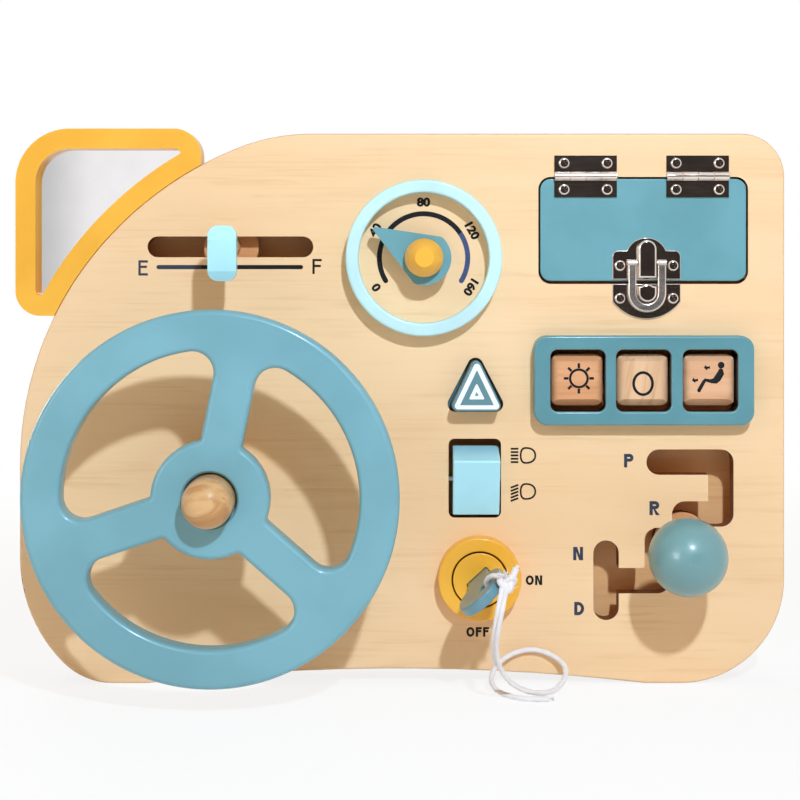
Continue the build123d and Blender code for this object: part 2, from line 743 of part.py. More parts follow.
def light_rocker():
    """Two-position rocker, lying in its lower position."""
    body = Box(rocker_w, rocker_l, rocker_t)
    body = fillet(body.edges().filter_by(Axis.X), 1.0)
    body = fillet(body.faces().filter_by(Axis.X).edges(), 0.8)
    body = Pos(rocker_body_dx, rocker_body_dy, 0) * body
    body -= cross_rod(0, 0, 0, rocker_pin_r + pin_gap, 2 * rocker_w)
    return Pos(rocker_x, rocker_pin_y, -rocker_depth) * Rot(rocker_tilt, 0, 0) * body


def rocker_pin():
    return cross_rod(rocker_x, rocker_pin_y, -rocker_depth, rocker_pin_r, rocker_pin_l() - 2 * gap)


# ================================================================ ignition
def lock_ring():
    ring = rod(lock_x, lock_y, lock_r, 0, lock_t) - rod(
        lock_x, lock_y, barrel_lock_r + lock_gap, 0, lock_t)
    return fillet(ring.edges().group_by(Axis.Z)[-1], 0.8)


def lock_barrel():
    """Turning barrel with the key slot; its flange keeps it behind the panel."""
    low = panel_back - gap - flange_t
    barrel = rod(0, 0, barrel_lock_r, low, lock_t)
    barrel = fillet(barrel.edges().group_by(Axis.Z)[-1], 0.6)
    barrel += rod(0, 0, lock_flange_r, low, low + flange_t)
    slot = RectangleRounded(blade_w + 2 * gap, key_t + 2 * gap, key_round)
    barrel -= slab(Rot(0, 0, key_angle) * slot, blade_bottom - gap, lock_t + 1)
    return Pos(lock_x, lock_y, 0) * barrel


def lock_thrust_pad():
    low = panel_back - gap - flange_t
    return rod(lock_x, lock_y, 10, cavity_back, low - gap)


def key_place(shape):
    """Stand a shape drawn in the key's plane (along, out) into the lock."""
    return Pos(lock_x, lock_y, 0) * Rot(0, 0, key_angle) * Rot(90, 0, 0) * shape


def key():
    head = Pos(0, key_head_z) * Ellipse(key_head_r, key_head_l)
    blade_top = key_head_z - key_head_l * 0.5
    blade = Pos(0, (blade_bottom + blade_top) / 2) * Rectangle(blade_w, blade_top - blade_bottom)
    blade = chamfer(blade.vertices().group_by(Axis.Y)[0], 1.5)
    face = head + blade - Pos(key_hole_u, key_hole_z) * Circle(key_hole_r)
    plate = extrude(face, amount=key_t / 2, both=True)
    return key_place(fillet(plate.edges(), key_round))


def knot_point():
    a = math.radians(key_angle)
    return (lock_x + knot_u * math.cos(a), lock_y + knot_u * math.sin(a), knot_z)


def key_loop():
    """Turn of cord through the key's hole and round its rim, open where the knot sits."""
    reach = math.hypot(knot_u - key_hole_u, knot_z - key_hole_z)
    slope = math.degrees(math.atan2(knot_z - key_hole_z, knot_u - key_hole_u))
    oval = Ellipse(reach / 2, loop_half_w).wire()
    section = Plane(oval @ 0, z_dir=oval % 0) * Circle(cord_r)
    ring = Rot(0, 0, slope) * Rot(90, 0, 0) * sweep(section, path=oval)
    ring = Pos((knot_u + key_hole_u) / 2, (knot_z + key_hole_z) / 2, 0) * ring
    ring -= Pos(knot_u, knot_z, 0) * Sphere(knot_r + gap)
    return key_place(ring)


def key_knot():
    """Knot with its short frayed tuft."""
    x, y, z = knot_point()
    tuft = Pos(x, y, z) * Rot(0, 0, key_angle + 8) * Rot(0, 78, 0) * Cone(1.1, 1.5, 9, align=BASE)
    return Pos(x, y, z) * Sphere(knot_r) + tuft


long_cord_route = (
    (47.5, 57.1, 53.3), (45.6, 50.4, 58.2), (43.6, 39.8, 56.6), (42.8, 28.5, 49.2),
    (45.0, 18.2, 41.0), (50.5, 9.0, 34.0), (59.5, 3.4, 28.6), (69.8, 1.7, 24.2),
    (77.2, 4.8, 15.5), (79.4, 10.0, 6.8), (73.2, 14.4, 2.5), (63.5, 17.4, 1.9),
    (53.6, 15.4, 2.7), (46.0, 11.0, 6.6), (42.4, 6.2, 13.5), (44.4, 2.5, 21.5),
    (51.0, 1.4, 28.2), (59.8, 1.3, 32.6), (68.6, 1.35, 32.0),
)
short_cord_route = (
    (45.0, 57.9, 53.2), (43.1, 50.6, 58.6), (41.1, 40.0, 57.0), (40.3, 29.1, 50.2),
    (42.3, 19.6, 43.4),
)


def cord(route, name):
    """Plain cord: straight runs joined by tangent arcs, each as large as its runs allow."""
    points = [Vector(*p) for p in route]
    radii = []
    for a, b, c in zip(points, points[1:], points[2:]):
        turn = math.radians((b - a).get_angle(c - b))
        shorter = min((b - a).length, (c - b).length)
        radii.append(0.45 * shorter / math.tan(turn / 2))
    path = FilletPolyline(*points, radius=radii)
    section = Plane(points[0], z_dir=points[1] - points[0]) * Circle(cord_r)
    tube = sweep(section, path=path)
    expected = math.pi * cord_r**2 * path.length
    print(name, "length", round(path.length, 1), "smallest radius", round(min(radii), 1),
          "volume over section times length", round(tube.volume / expected, 4))
    return tube


# ================================================================ build
def build():
    os.makedirs("parts", exist_ok=True)
    face = board_face()
    save("front_panel", front_panel(face))
    save("spacer_rim", spacer_rim(face))
    save("back_panel", back_panel(face))
    save("compartment_frame", compartment_frame())
    save("rear_stand_left", rear_stand(-stand_x))
    save("rear_stand_right", rear_stand(stand_x))

    save("mirror_frame", mirror_frame(face))
    save("mirror_glass", mirror_glass(face))
    save("mirror_back_plate", mirror_back_plate(face))

    save("steering_wheel", steering_wheel())
    save("steering_cap", steering_cap())
    save("steering_bolt", steering_bolt())
    save("steering_column", steering_column())
    save("steering_washer", steering_washer())
    save("steering_block", steering_block())

    save("dial_ring", dial_ring())
    save("needle", needle())
    save("needle_spacer", needle_spacer())
    save("needle_knob", needle_knob())
    save("needle_screw", needle_screw())

    save("slider_tab", slider_tab())
    save("slider_stem", slider_stem())
    save("slider_keeper", slider_keeper())

    save("gear_stem", gear_stem())
    save("gear_ball", gear_ball())
    save("gear_keeper", gear_keeper())

    save("door", door())
    for x, hand in zip(hinge_xs, ("left", "right")):
        save(f"hinge_{hand}_panel_leaf", hinge_leaf(x, 1))
        save(f"hinge_{hand}_door_leaf", hinge_leaf(x, -1))
        save(f"hinge_{hand}_pin", hinge_pin(x))
    save("hinge_panel_screws", *[screw(x, y, leaf_t) for x, y in hinge_screws(1)])
    save("hinge_door_screws", *[screw(x, y, leaf_t) for x, y in hinge_screws(-1)])

    save("latch_door_plate", upper_latch_plate())
    save("latch_hasp", latch_hasp())
    save("latch_pin", latch_pin())
    save("latch_panel_plate", lower_latch_plate())
    save("latch_door_screws", *[screw(x, y, plate_t) for x, y in latch_screws(latch_screw_ys[0])])
    save("latch_panel_screws", *[screw(x, y, plate_t) for x, y in latch_screws(latch_screw_ys[1])])

    save("air_frame", air_frame())
    for x, name in zip(block_xs, ("sun", "zero", "fan")):
        save(f"air_block_{name}", air_block(x))
    save("air_axle", air_axle())
    keeper_x = (axle_l - keeper_block_w) / 2
    save("air_axle_keepers", *[pin_keeper(air_x + s * keeper_x, air_y, axle_depth, axle_r)
                               for s in (-1, 1)])

    save("hazard_button", hazard_button())
    save("hazard_spring", hazard_spring())

    save("light_rocker", light_rocker())
    save("rocker_pin", rocker_pin())
    keeper_x = (rocker_pin_l() - keeper_block_w) / 2
    save("rocker_pin_keepers", *[
        pin_keeper(rocker_x + s * keeper_x, rocker_pin_y, rocker_depth, rocker_pin_r)
        for s in (-1, 1)])

    save("lock_ring", lock_ring())
    save("lock_barrel", lock_barrel())
    save("lock_thrust_pad", lock_thrust_pad())
    save("key", key())
    save("key_loop", key_loop())
    save("key_knot", key_knot())
    save("long_cord", cord(long_cord_route, "long_cord"))
    save("short_cord", cord(short_cord_route, "short_cord"))


build()
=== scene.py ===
# %% [markdown]
# # A wooden driving board for toddlers
# The board stands upright. Its face looks along -Y, +X is to the right and +Z is up.
# The solid pieces come in as a fixed frame, each in its own place. This notebook gives them
# their finishes and adds what is soft or printed: the cord, its knot, and the marks.

# %% Load the frame
import bpy
import bmesh
import math
import random
from mathutils import Matrix, Vector


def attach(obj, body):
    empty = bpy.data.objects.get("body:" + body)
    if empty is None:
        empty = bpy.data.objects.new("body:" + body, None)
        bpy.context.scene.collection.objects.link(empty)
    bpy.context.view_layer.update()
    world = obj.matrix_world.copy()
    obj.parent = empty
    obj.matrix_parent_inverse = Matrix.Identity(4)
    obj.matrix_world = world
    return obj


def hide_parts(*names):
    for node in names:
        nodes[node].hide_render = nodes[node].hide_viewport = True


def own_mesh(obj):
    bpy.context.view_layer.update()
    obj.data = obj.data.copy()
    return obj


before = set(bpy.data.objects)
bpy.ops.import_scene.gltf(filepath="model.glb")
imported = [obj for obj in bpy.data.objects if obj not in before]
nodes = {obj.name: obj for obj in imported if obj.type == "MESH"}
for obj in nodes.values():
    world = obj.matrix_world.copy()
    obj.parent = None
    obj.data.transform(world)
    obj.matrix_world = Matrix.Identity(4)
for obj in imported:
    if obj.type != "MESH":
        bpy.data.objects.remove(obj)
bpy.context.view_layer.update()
MM = 0.001
print("solid pieces:", len(nodes))

# %% [markdown]
# Everything is measured on the board's face, as a maker would with a ruler: x to the right of
# the middle, z up from the table, and out from the face towards the child. One helper turns
# those millimetres into a point of the scene.

# %% Places on the face
def on_face(x, z, out=0.0):
    """A point x and z millimetres along the face and so far out of it, in metres."""
    return Vector((x * MM, -out * MM, z * MM))


def select_only(piece):
    """Selects this piece alone and makes it the active one."""
    bpy.ops.object.select_all(action="DESELECT")
    piece.select_set(True)
    bpy.context.view_layer.objects.active = piece


print("a point 10 mm out of the face:", tuple(on_face(0, 100, 10)))

# %% [markdown]
# ## Camera
# The board is seen straight on, from three quarters of a metre, with the lens about 200 mm
# above the table. A shifted lens keeps the upright edges parallel while the view looks a
# little lower, as in a catalogue picture.

# %% Camera
eye_height, eye_distance, view_width = 0.201, 0.760, 0.384
sensor_width, look_down = 36, -0.169
camera_data = bpy.data.cameras.new("studio_camera")
camera_data.sensor_width = sensor_width
camera_data.lens = sensor_width * eye_distance / view_width
camera_data.shift_y = look_down
camera_data.clip_start = 0.01
camera = bpy.data.objects.new("studio_camera", camera_data)
camera.location = (0, -eye_distance, eye_height)
camera.rotation_euler = (math.radians(90), 0, 0)
bpy.context.collection.objects.link(camera)
bpy.context.scene.camera = camera
print("lens", round(camera_data.lens, 1), "mm")

# %% [markdown]
# ## Finish helpers
# A finish is a small network of nodes. The effects that several finishes share, wood figure
# and the film of paint, are built once as node groups with named inputs. Colours are written
# as they would be mixed on a screen and changed to light values here.


# %% Colours and node helpers
def colour(red, green, blue):
    """A screen colour, 0 to 255, as linear light."""
    out = []
    for value in (red, green, blue):
        v = value / 255
        out.append(v / 12.92 if v <= 0.04045 else ((v + 0.055) / 1.055) ** 2.4)
    return (*out, 1.0)


def new_group(name, inputs, outputs):
    """An empty node group with its sockets; inputs are name, kind and value."""
    group = bpy.data.node_groups.new(name, "ShaderNodeTree")
    for label, kind, value in inputs:
        socket = group.interface.new_socket(label, in_out="INPUT", socket_type=kind)
        if value is not None:
            socket.default_value = value
    for label, kind in outputs:
        group.interface.new_socket(label, in_out="OUTPUT", socket_type=kind)
    ends = group.nodes.new("NodeGroupInput"), group.nodes.new("NodeGroupOutput")
    return group, ends[0], ends[1]


def add_node(tree, kind, inputs=None, **settings):
    """A node with its settings, and links or values for its inputs."""
    node = tree.nodes.new(kind)
    for key, value in settings.items():
        setattr(node, key, value)
    for key, value in (inputs or {}).items():
        if isinstance(value, bpy.types.NodeSocket):
            tree.links.new(value, node.inputs[key])
        else:
            node.inputs[key].default_value = value
    return node


def mixed(tree, factor, first, second):
    """Colour mix; factor, first and second are sockets or values."""
    inputs = {0: factor, 6: first, 7: second}
    return add_node(tree, "ShaderNodeMix", inputs, data_type="RGBA").outputs[2]


def math_node(tree, operation, first, second=0.0, third=0.0):
    """One arithmetic step on sockets or numbers."""
    inputs = {0: first, 1: second, 2: third}
    return add_node(tree, "ShaderNodeMath", inputs, operation=operation).outputs[0]


def product(tree, *factors):
    """Masks and shares multiplied with each other."""
    out = factors[0]
    for factor in factors[1:]:
        out = math_node(tree, "MULTIPLY", out, factor)
    return out


def ramp(tree, factor, low, high):
    """A smooth step of a value between two limits."""
    node = add_node(tree, "ShaderNodeMapRange", {"Value": factor, "From Min": low, "From Max": high},
                    interpolation_type="SMOOTHSTEP")
    return node.outputs[0]


def noise(tree, place, scale, detail, **shape):
    """Soft noise at a place; shape may give its Roughness and Distortion."""
    inputs = {"Vector": place, "Scale": scale, "Detail": detail, **shape}
    return add_node(tree, "ShaderNodeTexNoise", inputs).outputs[0]


def stretched(tree, place, pull, shift=(0, 0, 0)):
    """A place that counts only in part along x: the smaller pull, the longer a pattern."""
    inputs = {"Vector": place, "Scale": (pull, 1, 1), "Location": shift}
    return add_node(tree, "ShaderNodeMapping", inputs).outputs[0]


print("cream in linear light:", [round(c, 3) for c in colour(249, 222, 178)])

# %% [markdown]
# ## Wood figure
# Sawn wood shows long soft bands, the yearly growth, and fine short fibres along them. Both
# are noise stretched along the grain. The group takes a place, so that each piece can run its
# grain its own way. It gives the bands, the fibres, the darker streaks that come in loose
# flocks, and the pores.

# %% Wood figure group
BAND_PULL, FIBRE_PULL, FLOCK_PULL, PORE_PULL = 0.11, 0.035, 0.22, 0.10
FIBRE_SCALE, FLOCK_SCALE, PORE_SCALE = 430.0, 60.0, 700.0

figure, gin, gout = new_group(
    "wood_figure",
    [("Place", "NodeSocketVector", None), ("Band Size", "NodeSocketFloat", 12.0)],
    [("Bands", "NodeSocketFloat"), ("Fibres", "NodeSocketFloat"), ("Streaks", "NodeSocketFloat"),
     ("Pores", "NodeSocketFloat")])
place = gin.outputs["Place"]
bands = noise(figure, stretched(figure, place, BAND_PULL), gin.outputs["Band Size"], 4.0,
              Roughness=0.55, Distortion=1.1)
fibres = noise(figure, stretched(figure, place, FIBRE_PULL), FIBRE_SCALE, 4.0, Roughness=0.62,
               Distortion=0.4)
flocks = noise(figure, stretched(figure, place, FLOCK_PULL, (0.3, 0, 0.7)), FLOCK_SCALE, 2.0,
               Distortion=0.8)
pores = noise(figure, stretched(figure, place, PORE_PULL), PORE_SCALE, 2.0, Roughness=0.5)
streaks = product(figure, ramp(figure, fibres, 0.44, 0.70), ramp(figure, flocks, 0.38, 0.66))
for label, value in (("Bands", bands), ("Fibres", fibres), ("Streaks", streaks),
                     ("Pores", ramp(figure, pores, 0.66, 0.78))):
    figure.links.new(value, gout.inputs[label])
print("group ready:", figure.name)

# %% [markdown]
# ## Start of a material
# Every finish starts from the same shader. Its pattern follows the piece's own coordinates, so
# it stays on the piece when that moves, and a height may become a fine bump. The way a surface
# faces tells the board's face from its edges.


# %% Start of a material
def new_material(name, rough=0.5, coat=0.0, coat_rough=0.2, metal=0.0):
    """A material with its Principled shader; returns material, tree and shader."""
    material = bpy.data.materials.new(name)
    material.use_nodes = True
    tree = material.node_tree
    shader = tree.nodes["Principled BSDF"]
    shader.inputs["Roughness"].default_value = rough
    shader.inputs["Coat Weight"].default_value = coat
    shader.inputs["Coat Roughness"].default_value = coat_rough
    shader.inputs["Metallic"].default_value = metal
    return material, tree, shader


def place_of(tree, turn=(0, 0, 0), shift=(0, 0, 0)):
    """Object coordinates, turned so that the grain runs the wanted way."""
    coords = add_node(tree, "ShaderNodeTexCoord")
    mapping = add_node(tree, "ShaderNodeMapping",
                       {"Vector": coords.outputs["Object"], "Rotation": turn, "Location": shift})
    return mapping.outputs[0]


def spot_of(tree):
    """Object coordinates, split into x, y and z."""
    coords = add_node(tree, "ShaderNodeTexCoord")
    return add_node(tree, "ShaderNodeSeparateXYZ", {0: coords.outputs["Object"]}).outputs


def facing_of(tree):
    """How far a surface faces along y: -1 to the child, 1 to the back, 0 to a side."""
    normal = add_node(tree, "ShaderNodeNewGeometry").outputs["Normal"]
    return add_node(tree, "ShaderNodeSeparateXYZ", {0: normal}).outputs[1]


def sideways(tree, facing, low, high):
    """1 where a surface looks sideways, up or down, and 0 where it looks along y."""
    return ramp(tree, math_node(tree, "ABSOLUTE", facing), low, high)


def bumped(tree, shader, height, distance, strength=1.0):
    """Joins a height to the shader as a fine bump."""
    bump = add_node(tree, "ShaderNodeBump",
                    {"Height": height, "Distance": distance, "Strength": strength})
    tree.links.new(bump.outputs[0], shader.inputs["Normal"])


print("material helpers ready")

# %% [markdown]
# ## Bare birch
# The board is varnished birch ply. Its face is cream with faint horizontal bands. Its outer
# edge shows the plies as thin stripes. The slots were cut hot, so their walls are scorch brown,
# deepened with painted shade, and the walls of the deep windows are painted near black as shade.
# The pieces inside the board take a deeper, more orange birch as painted shade, and the inner
# face of the back panel a brighter one as painted light. Boxes on the face tell where these cuts
# are. Solid wood, turned or sawn, has no stripes.

# %% Birch finishes
# Boxes on the face, in millimetres: middle x, middle z, half width, half height.
frame_cuts = 116.4, 144.6, 50.0, 18.0
fuel_cuts, right_cuts = (-77, 208, 48, 12), (93, 139, 73, 113)
# Painted shade: near black for the deep window walls, and the scorch brown of the slot walls
# deepened with painted shade.
painted_shade_dark, scorch_and_shade = colour(26, 16, 10), colour(118, 54, 14)
PLY = 1.5 * MM
STREAK_SHARE, PORE_SHARE, EDGE_PORE_SHARE = 0.34, 0.13, 0.3
DEEPER, SECOND_PLY, EDGE_PORE = (0.80, 0.70, 0.54), 0.72, 0.5


def within(tree, middle_x, middle_z, half_x, half_z):
    """1 inside a box on the face, given in millimetres, and 0 outside it."""
    spot = spot_of(tree)
    inside = []
    for axis, middle, half in ((0, middle_x, half_x), (2, middle_z, half_z)):
        away = math_node(tree, "ABSOLUTE", math_node(tree, "SUBTRACT", spot[axis], middle * MM))
        inside.append(math_node(tree, "LESS_THAN", away, half * MM))
    return product(tree, *inside)


def birch(name, light, dark, edge=None, turn=(0, 0, 0), shift=(0, 0, 0), rough=0.42, band=9.0,
          strength=1.0, cuts=(), back=None):
    """Varnished birch; given an edge colour it is ply, striped where it looks sideways."""
    material, tree, shader = new_material(name, rough, coat=0.04, coat_rough=0.3)
    shader.inputs["Specular IOR Level"].default_value = 0.22
    place = place_of(tree, turn, shift)
    wood = add_node(tree, "ShaderNodeGroup", {"Place": place, "Band Size": band}, node_tree=figure)
    tone = ramp(tree, wood.outputs["Bands"], 0.36, 0.66)
    deep = [c * share for c, share in zip(dark, DEEPER)] + [1]
    facing = facing_of(tree)
    face = mixed(tree, tone, light, dark)
    # A back colour covers the faces that look along +y, so the faces towards the child can carry
    # painted light.
    if back:
        face = mixed(tree, ramp(tree, facing, 0.3, 0.6), face, back)
    for mask, share in (("Streaks", STREAK_SHARE), ("Pores", PORE_SHARE)):
        face = mixed(tree, product(tree, wood.outputs[mask], share * strength), face, deep)
    if edge:
        layer = math_node(tree, "PINGPONG", spot_of(tree)[1], PLY)
        layer = ramp(tree, layer, PLY * 0.35, PLY * 0.65)
        ends = mixed(tree, layer, edge, [c * SECOND_PLY for c in edge[:3]] + [1])
        ends = mixed(tree, product(tree, wood.outputs["Pores"], EDGE_PORE_SHARE), ends,
                     [c * EDGE_PORE for c in edge[:3]] + [1])
        # Inside the given boxes the sideways walls take a darker colour: painted shade, and on the
        # slots also the brown of scorching.
        for box, burn_and_shade in cuts:
            ends = mixed(tree, within(tree, *box), ends, burn_and_shade)
        face = mixed(tree, sideways(tree, facing, 0.80, 0.50), face, ends)
    tree.links.new(face, shader.inputs["Base Color"])
    sheen = math_node(tree, "MULTIPLY_ADD", wood.outputs["Fibres"], 0.16, rough - 0.08)
    tree.links.new(sheen, shader.inputs["Roughness"])
    bumped(tree, shader, wood.outputs["Fibres"], 0.00012, 0.35)
    return material


outward = (0, 0, math.radians(90))
# The face's slot walls get scorch brown deepened with painted shade; its window walls get painted
# near-black shade.
birch_board = birch("birch_board", colour(251, 213, 166), colour(243, 201, 151),
                    colour(206, 156, 106), rough=0.5,
                    cuts=((fuel_cuts, scorch_and_shade), (right_cuts, scorch_and_shade), (frame_cuts, painted_shade_dark)))
birch_stand = birch("birch_stand", colour(248, 208, 158), colour(240, 194, 142), turn=outward)
# Painted light: the back panel's inner face, seen through the slots, is brighter and more orange
# than its plain outer face.
birch_painted_lit = birch("birch_behind_painted_lit", colour(255, 200, 140), colour(250, 186, 122),
                  colour(206, 156, 106), back=colour(244, 206, 160))
# A deeper, more orange copy of the board's birch for the pieces inside the board: painted shade, the
# warm dusk of the slots.
birch_shaded_inner = birch("birch_shaded_inner", colour(240, 172, 112), colour(226, 152, 92),
                    colour(206, 156, 106), cuts=((right_cuts, scorch_and_shade), (frame_cuts, painted_shade_dark)))
birch_turned = birch("birch_turned", colour(236, 196, 148), colour(216, 168, 116), turn=outward,
                     band=60.0, rough=0.36, strength=1.6)
birch_cap = birch("birch_cap", colour(222, 178, 124), colour(196, 142, 90),
                  turn=(0, 0.3, 0.2), shift=(0.4, 0.1, 0), band=90.0, rough=0.34, strength=2.0)
beech = {"band": 48.0, "rough": 0.4, "strength": 2.0}
beech_sun = birch("beech_sun", colour(240, 180, 134), colour(222, 158, 110),
                  shift=(0.3, 0, 0.2), **beech)
beech_zero = birch("beech_zero", colour(238, 196, 154), colour(218, 170, 126),
                   turn=(0, math.radians(80), 0), shift=(0.1, 0, 0.5), **beech)
beech_fan = birch("beech_fan", colour(236, 184, 142), colour(220, 162, 120),
                  shift=(0.7, 0, 0.1), **beech)
print("birch finishes:", birch_board.name, birch_painted_lit.name, beech_sun.name)

# %% [markdown]
# ## Paint on wood
# The coloured pieces are sprayed with a water-based satin paint. It's thin, so a breath of the
# grain stays under it, and the film pulls into a very slight orange peel, with a few specks.

# %% Paint film group
CLOUD_SCALE, GRAIN_SCALE, SPECK_SCALE, GRAIN_PULL = 26.0, 620.0, 1500.0, 0.05

film, gin, gout = new_group(
    "paint_film",
    [("Place", "NodeSocketVector", None), ("Peel", "NodeSocketFloat", 420.0)],
    [("Cloud", "NodeSocketFloat"), ("Height", "NodeSocketFloat"), ("Specks", "NodeSocketFloat")])
place = gin.outputs["Place"]
cloud = noise(film, place, CLOUD_SCALE, 3.0)
peel = noise(film, place, gin.outputs["Peel"], 2.0)
raised = noise(film, stretched(film, place, GRAIN_PULL), GRAIN_SCALE, 2.0)
specks = noise(film, place, SPECK_SCALE, 0.0)
for label, value in (("Cloud", cloud), ("Height", math_node(film, "ADD", peel, raised)),
                     ("Specks", ramp(film, specks, 0.70, 0.80))):
    film.links.new(value, gout.inputs[label])
print("group ready:", film.name)

# %% [markdown]
# Where a cut goes through painted wood, its walls lie in deep shade and look nearly black. That
# shade is painted: the paint can be made dark wherever a mask says so.

# %% Painted finishes
PAINT_VARIETY, SPECK_SHARE, PEEL_HEIGHT = 0.06, 0.10, 0.1 * MM


def paint(name, base, rough=0.42, coat=0.35):
    """Satin paint over wood."""
    material, tree, shader = new_material(name, rough, coat=coat, coat_rough=0.14)
    place = place_of(tree)
    skin = add_node(tree, "ShaderNodeGroup", {"Place": place}, node_tree=film)
    pale = [min(1, c * (1 + PAINT_VARIETY) + 0.01) for c in base[:3]] + [1]
    deep = [c * (1 - PAINT_VARIETY) for c in base[:3]] + [1]
    body_colour = mixed(tree, ramp(tree, skin.outputs["Cloud"], 0.3, 0.7), deep, pale)
    body_colour = mixed(tree, product(tree, skin.outputs["Specks"], SPECK_SHARE), body_colour,
                        pale)
    tree.links.new(body_colour, shader.inputs["Base Color"])
    gloss = math_node(tree, "MULTIPLY_ADD", skin.outputs["Cloud"], 0.10, rough - 0.05)
    tree.links.new(gloss, shader.inputs["Roughness"])
    bumped(tree, shader, skin.outputs["Height"], PEEL_HEIGHT, 0.3)
    return material


def darkened(material, mask, dark):
    """Paints shade into a paint: makes it dark where the mask is 1."""
    tree = material.node_tree
    shader = tree.nodes["Principled BSDF"]
    painted = shader.inputs["Base Color"].links[0].from_socket
    tree.links.new(mixed(tree, mask, painted, dark), shader.inputs["Base Color"])


wheel_blue = paint("wheel_blue", colour(114, 169, 179))
door_blue = paint("door_blue", colour(99, 157, 164))
frame_blue = paint("frame_blue", colour(88, 144, 151))
tree = frame_blue.node_tree
# Painted shade: the walls of the air vent windows are made near black.
darkened(frame_blue, product(tree, sideways(tree, facing_of(tree), 0.45, 0.20),
                             within(tree, *frame_cuts)), painted_shade_dark)
pale_cyan = paint("pale_cyan", colour(176, 232, 242), rough=0.38)
pale_ring = paint("pale_ring", colour(198, 236, 237), rough=0.38)
warm_yellow = paint("warm_yellow", colour(253, 181, 44), rough=0.4)
ball_blue = paint("ball_blue", colour(108, 152, 152), rough=0.34, coat=0.5)
hazard_teal = paint("hazard_teal", colour(98, 140, 147), rough=0.4)
key_blue = paint("key_blue", colour(99, 145, 157), rough=0.38)
print("painted finishes: 9")

# %% [markdown]
# The lock's barrel turns in its ring. The cut between them and the slot for the key lie in deep
# shade. That shade is painted: the lock's paint is made dark on every wall within the cut's radius.

# %% Yellow lock
lock_x, lock_z = 37.9, 51.5
cut_r, cut_blur = 13.4, 0.4
yellow_lock = paint("lock_yellow", colour(255, 180, 38), rough=0.4)
tree = yellow_lock.node_tree
centred = place_of(tree, shift=(-lock_x * MM, 0, -lock_z * MM))
flat = add_node(tree, "ShaderNodeVectorMath", {0: centred, 1: (1, 0, 1)}, operation="MULTIPLY")
away = add_node(tree, "ShaderNodeVectorMath", {0: flat.outputs[0]}, operation="LENGTH")
inside = ramp(tree, away.outputs["Value"], (cut_r + cut_blur) * MM, cut_r * MM)
# Painted shade: side walls of the cut and of the key slot turn near black.
darkened(yellow_lock, product(tree, sideways(tree, facing_of(tree), 0.75, 0.35), inside),
         colour(34, 20, 8))
print("finish ready:", yellow_lock.name)

# %% [markdown]
# ## Metal, mirror and ink
# The hinges and the latch are nickel-plated steel: bright, almost smooth, with the faint
# streaks of the polishing wheel. The mirror is a sheet of silvered acrylic. The marks are
# pad-printed ink, matt, in black, slate and white.

# %% Metal and mirror
PLATING_WAVES, LINE_SHARE, DULLED = 0.5 * MM, 0.015, 0.82


def plated(name, base, rough, streaks):
    """Plated steel with polishing streaks."""
    material, tree, shader = new_material(name, rough, metal=1.0)
    place = place_of(tree)
    lines = noise(tree, stretched(tree, place, 0.06), 2600.0, 2.0)
    smear = noise(tree, place, 70.0, 1.0)
    dull = [c * DULLED for c in base[:3]] + [1]
    tree.links.new(mixed(tree, ramp(tree, smear, 0.35, 0.7), base, dull),
                   shader.inputs["Base Color"])
    haze = math_node(tree, "MULTIPLY_ADD", lines, streaks, rough)
    tree.links.new(haze, shader.inputs["Roughness"])
    waves = math_node(tree, "ADD", smear, product(tree, lines, LINE_SHARE))
    bumped(tree, shader, waves, PLATING_WAVES)
    return material


nickel = plated("nickel", colour(238, 224, 214), 0.06, 0.10)
worn_nickel = plated("worn_nickel", colour(238, 226, 216), 0.17, 0.12)
steel = plated("zinc_steel", colour(176, 178, 182), 0.3, 0.2)
silvered, tree, shader = new_material("silvered_acrylic", 0.05, coat=1.0, coat_rough=0.02,
                                      metal=1.0)
dust = noise(tree, place_of(tree), 90.0, 3.0)
tree.links.new(mixed(tree, dust, colour(250, 249, 250), colour(240, 239, 241)),
               shader.inputs["Base Color"])
print("metal finishes:", nickel.name, steel.name, silvered.name)


# %% Ink
def ink(name, base, thin):
    """Pad-printed ink, a little uneven where it lies in the grain."""
    material, tree, shader = new_material(name, 0.7)
    shader.inputs["Specular IOR Level"].default_value = 0.25
    patch = noise(tree, stretched(tree, place_of(tree), 0.06), 700.0, 2.0)
    worn = [c + (0.5 - c) * thin for c in base[:3]] + [1]
    tree.links.new(mixed(tree, ramp(tree, patch, 0.45, 0.75), base, worn),
                   shader.inputs["Base Color"])
    return material


black_ink = ink("black_ink", colour(12, 12, 14), thin=0.01)
slate_ink = ink("slate_ink", colour(54, 58, 76), thin=0.03)
blue_ink = ink("blue_ink", colour(64, 78, 118), thin=0.03)
white_ink = ink("white_ink", colour(246, 248, 248), thin=0.02)
print("inks: 4")

# %% [markdown]
# ## Dressing the solid pieces
# Each solid has one finish, so its slots are emptied and filled with that one. Hinge and latch
# pieces that the list leaves out are nickel, and the hidden bolts, pins and springs are zinc.

